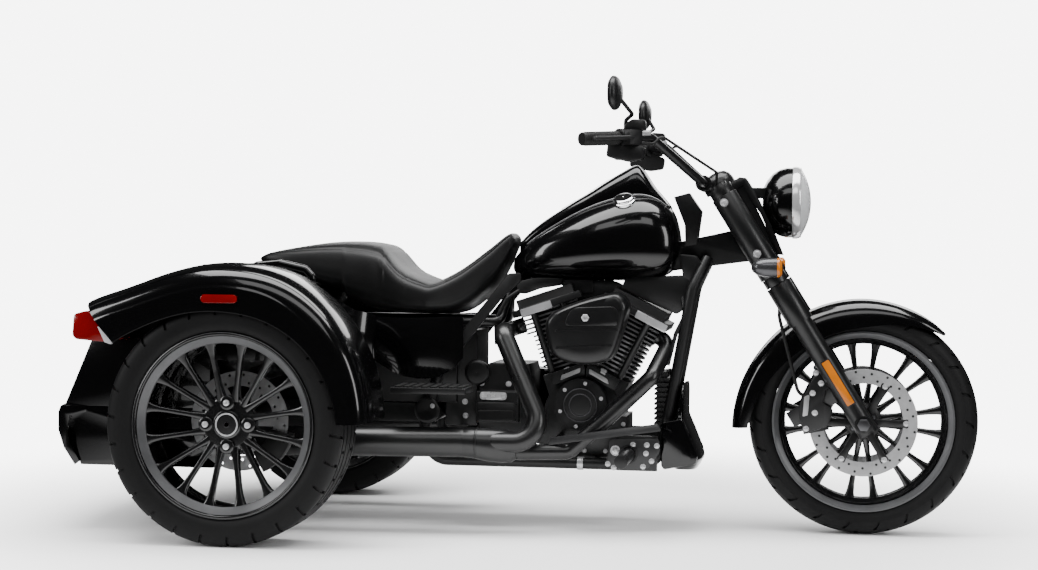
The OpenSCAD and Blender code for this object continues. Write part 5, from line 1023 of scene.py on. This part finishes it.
def bolt_tree():
    t, ids, gi, go = geometry_tree("bolt_heads", {"Head Radius": "Float", "Head Height": "Float", "Sides": "Int",
        "Finish": "Material"})
    n, l = t.nodes, t.links

    def scaled(name, factor):
        m = n.new("ShaderNodeMath")
        m.operation = "MULTIPLY"
        m.inputs[1].default_value = factor
        join(l, (gi, name, m, 0))
        return m

    def disc(bottom, top, depth, lift, sides=None):
        c, move = new_nodes(n, "GeometryNode", "MeshCone", "Transform")
        up = n.new("ShaderNodeCombineXYZ")
        sizes = (("Head Radius", bottom, c, "Radius Bottom"), ("Head Radius", top, c, "Radius Top"),
            ("Head Height", depth, c, "Depth"), ("Head Height", lift, up, "Z"))
        for name, factor, node, entering in sizes:
            join(l, (scaled(name, factor), 0, node, entering))
        join(l, (c, "Mesh", move, "Geometry"), (up, 0, move, "Translation"))
        if sides is None:
            join(l, (gi, "Sides", c, "Vertices"))
        else:
            set_inputs(c, {"Vertices": sides})
        return move

    head, aim, put, real, paint = new_nodes(n, "GeometryNode", "JoinGeometry", "InputNamedAttribute",
        "InstanceOnPoints", "RealizeInstances", "SetMaterial")
    washer, shank = (1.45, 1.4, 0.22, 0, 20), (1, 1, 0.7, 0.2)
    chamfer, socket = (1, 0.8, 0.14, 0.9), (0.42, 0.42, 0.02, 1.041, 6)
    for size in (washer, shank, chamfer, socket):
        join(l, (disc(*size), 0, head, 0))
    turn_to = n.new("FunctionNodeAlignRotationToVector")
    turn_to.axis, aim.data_type = "Z", "FLOAT_VECTOR"
    set_inputs(aim, {"Name": "aim"})
    join(l, (aim, "Attribute", turn_to, "Vector"), (gi, "Geometry", put, "Points"), (head, 0, put, "Instance"),
        (turn_to, "Rotation", put, "Rotation"), (put, 0, real, 0), (real, 0, paint, "Geometry"),
        (gi, "Finish", paint, "Material"), (paint, 0, go, 0))
    return t, ids

bolt_heads = bolt_tree()
print("bolt tree of", len(bolt_heads[0].nodes), "nodes")

# %% Setting bolts
def run_tree(name, mesh, tree, values):
    o = new_object(name, mesh)
    mod = o.modifiers.new("tree", "NODES")
    mod.node_group = tree[0]
    for key, value in values.items():
        mod[tree[1][key]] = value
    apply_modifiers(o)
    return o

def bolts(name, places, aims, r, h, material, body, sides=18):
    mesh = bpy.data.meshes.new(name)
    mesh.from_pydata([tuple(np.asarray(p)*mm) for p in places], [], [])
    field = mesh.attributes.new("aim", "FLOAT_VECTOR", "POINT")
    field.data.foreach_set("vector", np.broadcast_to(np.asarray(aims, float), (len(places), 3)).ravel())
    values = {"Head Radius": r*mm, "Head Height": h*mm, "Sides": sides, "Finish": material}
    o = run_tree(name, mesh, bolt_heads, values)
    place_piece(o, body, 35)

def side_bolts(name, xz, y, *args, **kw):
    bolts(name, [(x, s*y, z) for s in both for x, z in xz], [(0, s, 0) for s in both for _ in xz], *args, **kw)

def on_circle(x, z, r, angles, high=1):
    return [(x + r*math.cos(math.radians(a)), z + r*high*math.sin(math.radians(a))) for a in angles]

# %% Where the bolts sit
right_side, left_side = (0, -1, 0), (0, 1, 0)
derby = crank + [-236, 0, 14]
cam_x, cam_z = crank[0], 356
side_bolts("fork_cover_bolts", [(front_x - 391, 928), (front_x - 298, 787)], 159, 8, 6, bright_alloy, "steering")
cam_xz = on_circle(cam_x, cam_z, 61, range(18, 378, 60), 62/61)
bolts("cam_bolts", [(x, -144, z) for x, z in cam_xz], right_side, 4, 4, bright_alloy, "chassis")
case_xz = ((72, 222), (130, 222), (190, 222), (250, 222), (296, 240), (72, 300), (300, 300))
bolts("case_bolts", [(x, -92, z) for x, z in case_xz], right_side, 4.5, 5, cast_silver, "chassis")
side_bolts("front_disc_buttons", on_circle(front_x, front_z, 118, range(0, -360, -60)), 82, 6, 3, bright_alloy,
    "front_wheel")
side_bolts("front_disc_bolts", on_circle(front_x, front_z, 32, range(-30, -390, -60)), 82, 4.5, 4, dark_steel,
    "front_wheel")
primary_xz = on_circle(derby[0], derby[2], 78, range(18, 378, 72))
primary_xz += on_circle(crank[0], crank[2], 88, range(-80, 81, 40))
bolts("primary_bolts", [(x, 170.3, z) for x, z in primary_xz], left_side, 4.5, 4, bright_alloy, "chassis")
print("bolts set")

# %% [markdown]
# ## Plates and turned details
# Covers, shields and strips are flat plates with a rounded outline and an eased edge. Caps and rings are
# short profiles turned about an axis across the machine. Two small makers give all of them, and the
# outlines are lists of places in the side view, in millimetres.

# %% Plate and cap makers
def plate_part(outline, back, face, edge=1.5, corner=6):
    # four rings from the back to the face, the last two drawn in to ease the edge
    line = rounded(outline, corner)
    out = line - line.mean(0)
    size = np.linalg.norm(out, axis=1, keepdims=True)
    way = math.copysign(1, face - back)
    rings = []
    for y, cut in ((back, 0), (face - way*edge, 0), (face - way*edge*0.3, edge*0.3), (face, edge)):
        p = line.mean(0) + out*(1 - cut/size)
        rings.append(np.stack([p[:, 0], np.full(len(p), y), p[:, 1]], 1))
    return np.array(rings), closed_faces(4, len(line))

def cap_part(profile, x, z, segments=64):
    # a profile of radius and Y, turned about an axis across the machine
    g, f = turned(profile, segments)
    return np.stack([g[..., 0] + x, g[..., 2], g[..., 1] + z], -1), f

def box_outline(x0, z0, x1, z1):
    return [[x0, z0], [x1, z0], [x1, z1], [x0, z1]]

def detail(name, parts, material, body="chassis", both_sides=False, slot=None, smooth=35):
    parts = [(np.asarray(v).reshape(-1, 3), f) for v, f in parts]
    if both_sides:
        parts += [(mirrored(v), f) for v, f in parts]
    v, f = gather(parts)
    return finish_mesh(name, v*mm, f, material, body, smooth=smooth, slot=slot)

def lean_place(lean, along, up):
    a = math.radians(lean)
    return [crank[0] + along*math.cos(a) + up*math.sin(a), crank[2] + up*math.cos(a) - along*math.sin(a)]

# %% Rocker strips, tappet blocks and cam cover
strips = [plate_part([lean_place(lean, a, s) for a, s in ((start, 318), (end, 318), (end, 340), (start, 340))],
    -107, -109.2, 0.8, 3) for lean, start, end in ((front_lean, 4, 100), (rear_lean, -78, 14))]
detail("rocker_strips", strips, bright_alloy, both_sides=True, slot="engine_black")
tappets = [plate_part([[122, 422], [178, 446], [180, 460], [125, 437]], -104, -118, 2, 4),
    plate_part([[204, 457], [256, 429], [260, 413], [203, 443]], -104, -118, 2, 4),
    plate_part([[134, 440], [150, 447], [146, 462], [130, 455]], -104, -114, 2, 3),
    plate_part([[232, 446], [250, 437], [254, 452], [237, 460]], -104, -114, 2, 3)]
detail("tappet_blocks", tappets, cast_silver, slot="engine_black")
cam_rings = ([[45.5, -149], [45.5, -152], [48.2, -152], [48.2, -149]],
    [[30, -149], [30, -152.6], [33, -152.6], [33, -149]])
detail("cam_rings", [cap_part(rounded(ring, 0.8), cam_x, cam_z, 96) for ring in cam_rings], dark_steel,
    slot="engine_black")
cam_face = [[0.2, -151.2], [20, -151.2], [29, -150.6], [29, -149], [0.2, -149]]
detail("cam_disc", [cap_part(cam_face, cam_x, cam_z, 96)], satin_black, slot="engine_black")
print("engine trim made")

# %% Gearbox side
gear_cap = knob([[0.2, -93], [36, -93], [36, -101], [30, -106], [12, -107], [0.2, -107]], 2)
detail("gearbox_cap", [cap_part(gear_cap, -120, 438)], control_black, slot="engine_black")
detail("gearbox_plate", [plate_part(box_outline(-106, 364, -28, 386), -131, -137, 1.5, 10)], bright_alloy,
    slot="engine_black")
detail("gearbox_lid", [plate_part(box_outline(-116, 303, 2, 358), -131, -141, 3, 10),
    plate_part(box_outline(-110, 307, -6, 335), -139, -145, 2.5, 8)], engine_black, slot="engine_black")
pivot_cap = knob([[0.2, -143], [36, -143], [36, -149], [29, -153], [0.2, -153]], 2)
detail("pivot_caps", [cap_part(pivot_cap, -256, 331)], control_black, both_sides=True, slot="engine_black")
gear_xz = ((-108, 408), (-30, 407), (-156, 354), (-154, 314), (4, 398), (-20, 452))
bolts("gearbox_side_bolts", [(x, -94, z) for x, z in gear_xz] + [(-97, -137, 375), (-37, -137, 375)], right_side,
    6, 5, bright_alloy, "chassis")
side_bolts("pivot_bolts", [(-239, 344)], 153, 5, 4, bright_alloy, "chassis")
print("gearbox side made")

# %% Air cleaner face
face = [plate_part([[150, 583], [300, 585], [296, 630], [284, 638], [176, 634], [158, 612]], -250, -254.5, 2, 14),
    plate_part([[124, 566], [298, 570], [298, 576], [124, 572]], -249.5, -254, 1.5, 3),
    plate_part([[124, 518], [284, 527], [284, 533], [124, 524]], -249.5, -254, 1.5, 3)]
detail("air_cleaner_panel", face, satin_black, slot="engine_black")
print("air cleaner face made")

# %% Foot plates, brace bars and clamps
shield = [[270, 264], [408, 268], [411, 230], [392, 204], [374, 180], [284, 177], [258, 192], [266, 226]]
detail("foot_shields", [plate_part(shield, -157, -163, 2, 9)], valance_grey, both_sides=True, slot="control_black")
shield_well = rounded([[19.4, -162], [27, -162], [27, -166], [19.4, -166]], 1)
detail("shield_wells", [cap_part(shield_well, 321.7, 222)], control_black, both_sides=True, slot="control_black")
shield_xz = ((335, 250), (374, 250), (402, 248), (372, 226), (388, 205), (364, 189), (265, 194), (282, 184))
side_bolts("shield_bolts", shield_xz, 163, 5.5, 5, bright_alloy, "chassis")
side_bolts("shield_bosses", [(286, 232)], 163, 10, 7, bright_alloy, "chassis", sides=6)
brace = [plate_part([[104, 249], [112, 271], [410, 316], [420, 296]], -226, -234, 2, 6)]
detail("brace_bars", brace, valance_grey, slot="control_black")
brace_studs = [tube_part([(x, -y, z) for y in (start, 160, 200, 227)], 8, 20)
    for x, start, z in ((122, 92, 262), (404, 158, 303))]
detail("brace_studs", brace_studs, control_black, slot="control_black")
wing = [[412, 310], [468, 322], [515, 219], [509, 197], [420, 179], [412, 190]]
detail("chin_wings", [plate_part(wing, -129, -137, 2, 6)], gloss_black, both_sides=True, slot="gloss_black")
detail("rail_clamps", [tube_part([(x, -128, 190) for x in (176, 181, 187, 192)], 18.5, 32),
    tube_part([(184, -128, z) for z in (172, 178, 184)], 7, 16)], bright_alloy, slot="control_black")
print("foot plates made")

# %% Collector and heat shields
def oval(x, y, z, wide, high):
    a = np.linspace(0, 2*math.pi, 40, endpoint=False)
    return np.stack([np.full(40, x), y + wide*np.cos(a), z + high*np.sin(a)], 1)

collector = [(-120, -286, 257, 41.5, 41.5), (-92, -286, 256, 41.5, 42.5), (-82, -285, 254, 40.5, 43.5),
    (-50, -279, 250, 38, 46), (-15, -272, 247, 34, 46), (10, -267, 245.5, 29, 42), (22, -265, 245, 22, 34)]
band = [(-88.5, -286, 256, 42.6, 43.4), (-87, -286, 256, 43.2, 44), (-84, -286, 256, 43.2, 44),
    (-82.5, -286, 256, 42.4, 43.2)]
skin("exhaust_collector", np.array([oval(*v) for v in collector])*mm, pipe_black, "chassis", smooth=50,
    slot="exhaust_black")
skin("exhaust_band", np.array([oval(*v) for v in band])*mm, satin_black, "chassis", smooth=40, slot="exhaust_black")
past_port = np.array([p for p in rear_line if np.linalg.norm(p - rear_line[0]) > 60])
tubes("rear_pipe_shield", [past_port], 28, pipe_black, "chassis", slot="exhaust_black", sides=36)
print("collector made")

# %% Fork and caliper details
def fork_plate(s0, s1, half, back, face):
    corners = ((s0, -half), (s0, half), (s1, half), (s1, -half))
    return plate_part([fork_point(s, a)[[0, 2]] for s, a in corners], back, face, 1, 3)

detail("fork_reflectors", [fork_plate(66, 204, 11, -146, -153.6)], amber_lens, "steering", True, "amber")
detail("reflector_frames", [fork_plate(62, 208, 14, -140, -152)], control_black, "steering", True, "fork_black")
caliper_xz = ((838, 459), (853, 430), (830, 402), (837, 347), (813, 302))
side_bolts("caliper_bolts", caliper_xz, 121, 6, 5, bright_alloy, "steering")
caliper_face = [[880, 489], [895, 463], [866, 407], [860, 372], [888, 358], [874, 310], [811, 287], [793, 324],
    [794, 369], [827, 437], [844, 472]]
detail("caliper_faces", [plate_part(caliper_face, -100.3, -121, 5, 9)], control_black, "steering", True, "fork_black")
caliper_pads = [plate_part([[807, 392], [822, 398], [818, 340], [803, 336]], -120, -123, 1.5, 4)]
detail("caliper_plates", caliper_pads, cast_silver, "steering", True, "fork_black")
print("fork and caliper details made")

# %% Front discs
def front_cap(profile, segments, dx=0, dz=0):
    return cap_part(profile, front_x + dx, front_z + dz, segments)

disc_band = rounded([[110, -82], [150, -82], [150, -77], [110, -77]], 0.6)
front_disc = detail("front_disc_bands", [front_cap(disc_band, 128)], disc_steel, "front_wheel", True, "disc_steel")
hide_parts("front_discs")
carrier = [front_cap(rounded([[18, -81.6], [44, -81.6], [44, -77.2], [18, -77.2]], 1), 64)]
arm_outline = ((36, -11), (36, 11), (90, 9), (124, 13), (124, -13), (90, -9))
for k in range(6):
    c, d = math.cos(k*math.pi/3), math.sin(k*math.pi/3)
    arm = [[front_x + r*c - w*d, front_z + r*d + w*c] for r, w in arm_outline]
    carrier.append(plate_part(arm, -77.2, -82.6, 0.8, 4))
detail("front_disc_carriers", carrier, control_black, "front_wheel", True, "disc_steel")
dot = [[0.1, -82.15], [3.6, -82.15], [3.6, -81], [0.1, -81]]
dots = []
for k in range(40):
    a, r = math.radians(9*k), (122, 138)[k % 2] + 5*(k % 4 > 1)
    dots.append(front_cap(dot, 16, r*math.cos(a), r*math.sin(a)))
detail("front_disc_holes", dots, control_black, "front_wheel", True, "disc_steel")
print("front discs made")

# %% Lamp cowl
cowl = [(524, 18), (524, 38), (556, 44), (610, 50), (742, 62), (752, 18)]
cheek = [(530, -6), (530, 30), (735, 30), (735, -6)]

def fork_slab(outline, y0, y1):
    rings = np.array([[fork_point(s, a, y) for s, a in outline] for y in (y0, y1)])
    return rings, closed_faces(2, len(outline))

cowl_slabs = [fork_slab(cowl, -58, 58), fork_slab(cheek, -58, -52), fork_slab(cheek, 52, 58)]
detail("lamp_cowl", cowl_slabs, satin_black, "steering", slot="fork_black")
print("lamp cowl made")

# %% [markdown]
# ## Hoses, cables and grips
# A cable follows a path, so a node tree makes it: the path becomes a curve, and a circle is drawn along
# it. A second tree sets rings along a path at an even spacing, for the ribs of the grips.

# %% Path trees
def path_tree(name, ringed):
    t, ids, gi, go = geometry_tree(name, {"Radius": "Float", "Wire": "Float", "Spacing": "Float",
        "Finish": "Material"})
    n, l = t.nodes, t.links
    line, paint, section, draw = new_nodes(n, "GeometryNode", "MeshToCurve", "SetMaterial", "CurvePrimitiveCircle",
        "CurveToMesh")
    set_inputs(section, {"Resolution": 14})
    join(l, (gi, "Geometry", line, 0), (gi, "Wire", section, "Radius"), (section, 0, draw, "Profile Curve"))
    if ringed:
        ring, even, put, real, way = new_nodes(n, "GeometryNode", "CurvePrimitiveCircle", "ResampleCurve",
            "InstanceOnPoints", "RealizeInstances", "InputTangent")
        aim = n.new("FunctionNodeAlignRotationToVector")
        even.mode, aim.axis = "LENGTH", "Z"
        set_inputs(ring, {"Resolution": 40})
        join(l, (gi, "Spacing", even, "Length"), (gi, "Radius", ring, "Radius"), (ring, 0, draw, "Curve"),
            (line, 0, even, "Curve"), (way, 0, aim, "Vector"), (even, 0, put, "Points"), (draw, 0, put, "Instance"),
            (aim, 0, put, "Rotation"), (put, 0, real, 0), (real, 0, paint, "Geometry"))
    else:
        set_inputs(draw, {"Fill Caps": True})
        join(l, (line, 0, draw, "Curve"), (draw, 0, paint, "Geometry"))
    join(l, (gi, "Finish", paint, "Material"), (paint, 0, go, 0))
    return t, ids

cable_tree, rib_tree = path_tree("cable_along", False), path_tree("rings_along", True)

def along_path(name, lines, tree, body, material, slot, **values):
    mesh = bpy.data.meshes.new(name)
    lines = [np.asarray(line, float)*mm for line in lines]
    edges, at = [], 0
    for line in lines:
        edges += [(at + k, at + k + 1) for k in range(len(line) - 1)]
        at += len(line)
    mesh.from_pydata([tuple(p) for line in lines for p in line], edges, [])
    o = run_tree(name, mesh, tree, {"Finish": material, **{k: v*mm for k, v in values.items()}})
    tidy_normals(o)
    return place_piece(o, body, 50)

# %% Grip ribs and control cables
grip_line = [bar_end + bar_way*s for s in np.linspace(12, 116, 30)]
along_path("grip_ribs", [grip_line, mirrored(grip_line)], rib_tree, "steering", soft_rubber, "grip_rubber",
    Radius=17.6, Wire=1.7, Spacing=7)
cable_start = switch_mid + bar_way*26
cable_path = [cable_start + [10, 0, -16], cable_start + bar_way*60 + [14, 0, -18], bar_knee + [30, -6, 4],
    bar_foot + [42, 40, 28], bar_foot + [36, 6, -24]]
cable_line = bend_line(cable_path, 22)
for side, flip in left_right:
    line = cable_line*np.array([1, flip, 1])
    cable = along_path("control_cable_" + side, [line], cable_tree, "steering", soft_rubber, "hose_rubber", Wire=4)

# %% [markdown]
# ## Bodywork details
# A loop to hold on to stands beside the seat on each side. Short panels close the gap between the rear
# body and the side covers. The filler cap sits on the tank's shoulder, square to the skin, so its axis is
# worked out from the tank's own shape.

# %% Grab loops and closing panels
loop = [(-736, 330, 710), (-704, 330, 740), (-640, 330, 747), (-566, 330, 731), (-545, 330, 708), (-556, 330, 664)]
grab_line = bend_line(loop, 16)
tubes("grab_loops", [grab_line, mirrored(grab_line)], 11, gloss_black, "chassis", slot="gloss_black", sides=20)

panel_rear, panel_long, panel_low, panel_out, panel_in, panel_bulge = -541, 143, 470, 300, 116, 8

def closing_sheet(inset):
    u = np.linspace(0, 1, 41)
    ease = u*u*(3 - 2*u)
    top = np.interp(u, [0, 0.3, 0.62, 1], [668, 652, 616, 600])
    low = panel_low + 8*u
    t = np.linspace(0, 1, 21)[:, None]
    y = panel_out - panel_in*ease + panel_bulge*np.sin(math.pi*t) - inset
    x = np.broadcast_to(panel_rear + panel_long*u, y.shape)
    return np.stack([x, y, low + (top - low)*t], 2)*mm

shell_pair("closing_panel_%s", closing_sheet(0), closing_sheet(6), 45, {})

# %% Filler cap and console trim
def placed_cap(profile, place, aim, segments=64):
    z = unit(aim)
    x = unit(np.cross([0, 1, 0], z))
    g, f = turned(profile, segments)
    return np.asarray(place) + g[..., :1]*x + g[..., 1:2]*np.cross(z, x) + g[..., 2:]*z, f

cap_x, cap_y, reach = 295, -95, 4
slope_x = (tank_top(cap_x + reach, cap_y) - tank_top(cap_x - reach, cap_y))/(2*reach)
slope_y = (tank_top(cap_x, cap_y + reach) - tank_top(cap_x, cap_y - reach))/(2*reach)
cap_place = [cap_x, cap_y, float(tank_top(cap_x, cap_y))]
cap_profile = knob([[0.2, -8], [33, -8], [33, 3], [29, 4], [29, 10], [24, 13], [0.2, 14]], 2)
detail("filler_cap", [placed_cap(cap_profile, cap_place, [-slope_x, -slope_y, 1])], chrome, slot="chrome")

def console_top(x):
    w = row_of(np.array(console_shares, float), (x - console_rear)/console_length)
    return float(tank_top(x, 0)) + console_h*w[2]

def console_rim(side, lift):
    places = [(console_rear + console_length*w[0], console_half*w[1]) for w in console_rows[3:-2]]
    return np.array([(x, side*y, float(tank_top(x, y)) + lift) for x, y in places])

# thin lighter grey tubes along both sides of the console: a painted highlight line on the seam with the tank
detail("console_rim_highlights", [tube_part(console_rim(side, 0.5), 2.4, 12) for side in both], edge_highlight_metal, slot="gloss_black")
trims = [tube_part([(x, 0, console_top(x) - 2.5) for x in np.linspace(a, b, 12)], 5, 16)
    for a, b in ((106, 146), (184, 244))]
detail("console_trims", trims, chrome, slot="chrome")
print("filler cap and console trim made")

# %% Tail lamps and lock
lamp_outline = [[-1138, 548], [-1134, 606], [-1096, 616], [-1070, 600], [-1024, 538], [-1050, 532], [-1128, 538]]
tail_lamps = detail("tail_lamp_lenses", [plate_part(lamp_outline, -452, -592, 4, 8)], red_lens, both_sides=True,
    slot="red_lens")
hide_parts("tail_lamps")
sliver = plate_part([[-1066, 574], [-1020, 553], [-1026, 526], [-1046, 532]], -584, -594.6, 1, 3)
detail("lamp_slivers", [sliver], lamp_silver, both_sides=True, slot="red_lens")
bolts("trunk_lock", [(-1146.5, 0, 587)], [(-0.894, 0, 0.447)], 11, 5, chrome, "trunk_lid", sides=28)
print("tail lamps and lock made")

# %% [markdown]
# ## Small dark parts
# Much of what fills the gaps round an engine is black: straps, a coil, trays for the wiring, hoses and a
# finned cooler. They are plain plates and tubes, but without them light shows through where it should not.
# The cooler hangs on lugs that end on the down tubes, at places read from the tubes' own line.

# %% Frame straps, coil and wiring trays
strap = [[10, 726], [-26, 724], [-74, 662], [-132, 590], [-262, 424], [-222, 424], [-98, 584], [-34, 664], [10, 700]]
detail("frame_straps", [plate_part(strap, -140, -152, 2, 8)], powder_black, both_sides=True, slot="frame_black")
coil = [plate_part(box_outline(118, 668, 206, 708), -20, -70, 3, 8),
    plate_part(box_outline(36, 690, 262, 706), -8, -40, 3, 5)]
detail("ignition_coil", coil, control_black, slot="frame_black")
block = [plate_part([[463, 711], [451, 784], [500, 780], [516, 756], [510, 711]], -40, -70, 3, 6)]
detail("wiring_block", block, control_black, slot="frame_black")
front_tray = [[286, 684], [300, 716], [462, 724], [490, 706], [478, 640], [446, 612], [430, 620], [352, 652]]
middle_tray = [[120, 690], [150, 704], [270, 704], [296, 690], [262, 668], [200, 648], [150, 640], [128, 652]]
rear_tray = [[-14, 698], [40, 712], [124, 712], [112, 690], [52, 680], [10, 664], [-10, 668]]
trays = [plate_part(front_tray, -30, -72, 3, 8), plate_part(middle_tray, -24, -64, 3, 8),
    plate_part(rear_tray, -34, -76, 3, 7)]
detail("harness_trays", trays, control_black, slot="frame_black")
print("straps, coil and trays made")

# %% Oil cooler and hoses
cooler = [plate_part(box_outline(386, z, 428, z + 7), -86, 86, 1.5, 3) for z in range(300, 440, 14)]
cooler += [plate_part([[392, 296], [392, 446], [422, 452], [418, 296]], y, y + 30, 2, 4) for y in (-78, -15, 48)]
down_tube = np.array([p for p in cradle_line if p[0] > 350])
down_tube = down_tube[np.argsort(down_tube[:, 2])]

def down_tube_at(z):
    return [np.interp(z, down_tube[:, 2], down_tube[:, k]) for k in range(3)]

lugs = [tube_part(np.linspace([407, 70, z], down_tube_at(z), 4), 6, 12) for z in (330, 424)]
cooler += lugs + [(mirrored(v), f) for v, f in lugs]
detail("oil_cooler", cooler, control_black, slot="frame_black")
hose_paths = ([[462, -66, 664], [470, -84, 610], [446, -96, 560], [424, -92, 470]],
    [[-4, -70, 676], [-40, -84, 650], [-70, -90, 590], [-66, -92, 520]])
tubes("harness_hoses", [bend_line(path, 14) for path in hose_paths], 6, control_black, "chassis",
    slot="frame_black", sides=14)
print("oil cooler of", len(cooler), "parts, and", len(hose_paths), "hoses")

# %% Bar controls
switch_box = [[269, 1046], [330, 1032], [370, 1038], [375, 1071], [340, 1084], [273, 1082]]
fluid_box = [[312, 1112], [376, 1118], [374, 1146], [338, 1148], [320, 1136]]
housings = [plate_part(switch_box, -296, -338, 5, 8), plate_part(fluid_box, -298, -332, 4, 7)]
detail("switch_housings", housings, control_black, "steering", True, "control_black")
cylinders = [tube_part([switch_mid + bar_way*a + [18, -4, 12] for a in (-6, 16, 40, 62)], 8, 20)]
detail("master_cylinders", cylinders, bright_alloy, "steering", True, "control_black")
print("bar controls made")

# %% Board pads and primary cover
pads = [plate_part(box_outline(x, 406, x + 16, 413), 214, 326, 1.5, 3) for x in np.linspace(-312, -138, 8)]
detail("board_pads", pads, soft_rubber, both_sides=True, slot="control_black")
derby_profiles = (knob([[0.2, 169], [66, 169], [66, 175], [60, 179], [0.2, 180]], 2),
    rounded([[70, 169.5], [70, 173], [86, 173], [86, 169.5]], 1))
detail("derby_cover", [cap_part(p, derby[0], derby[2], 96) for p in derby_profiles], gloss_black, slot="engine_black")
print("left side made")
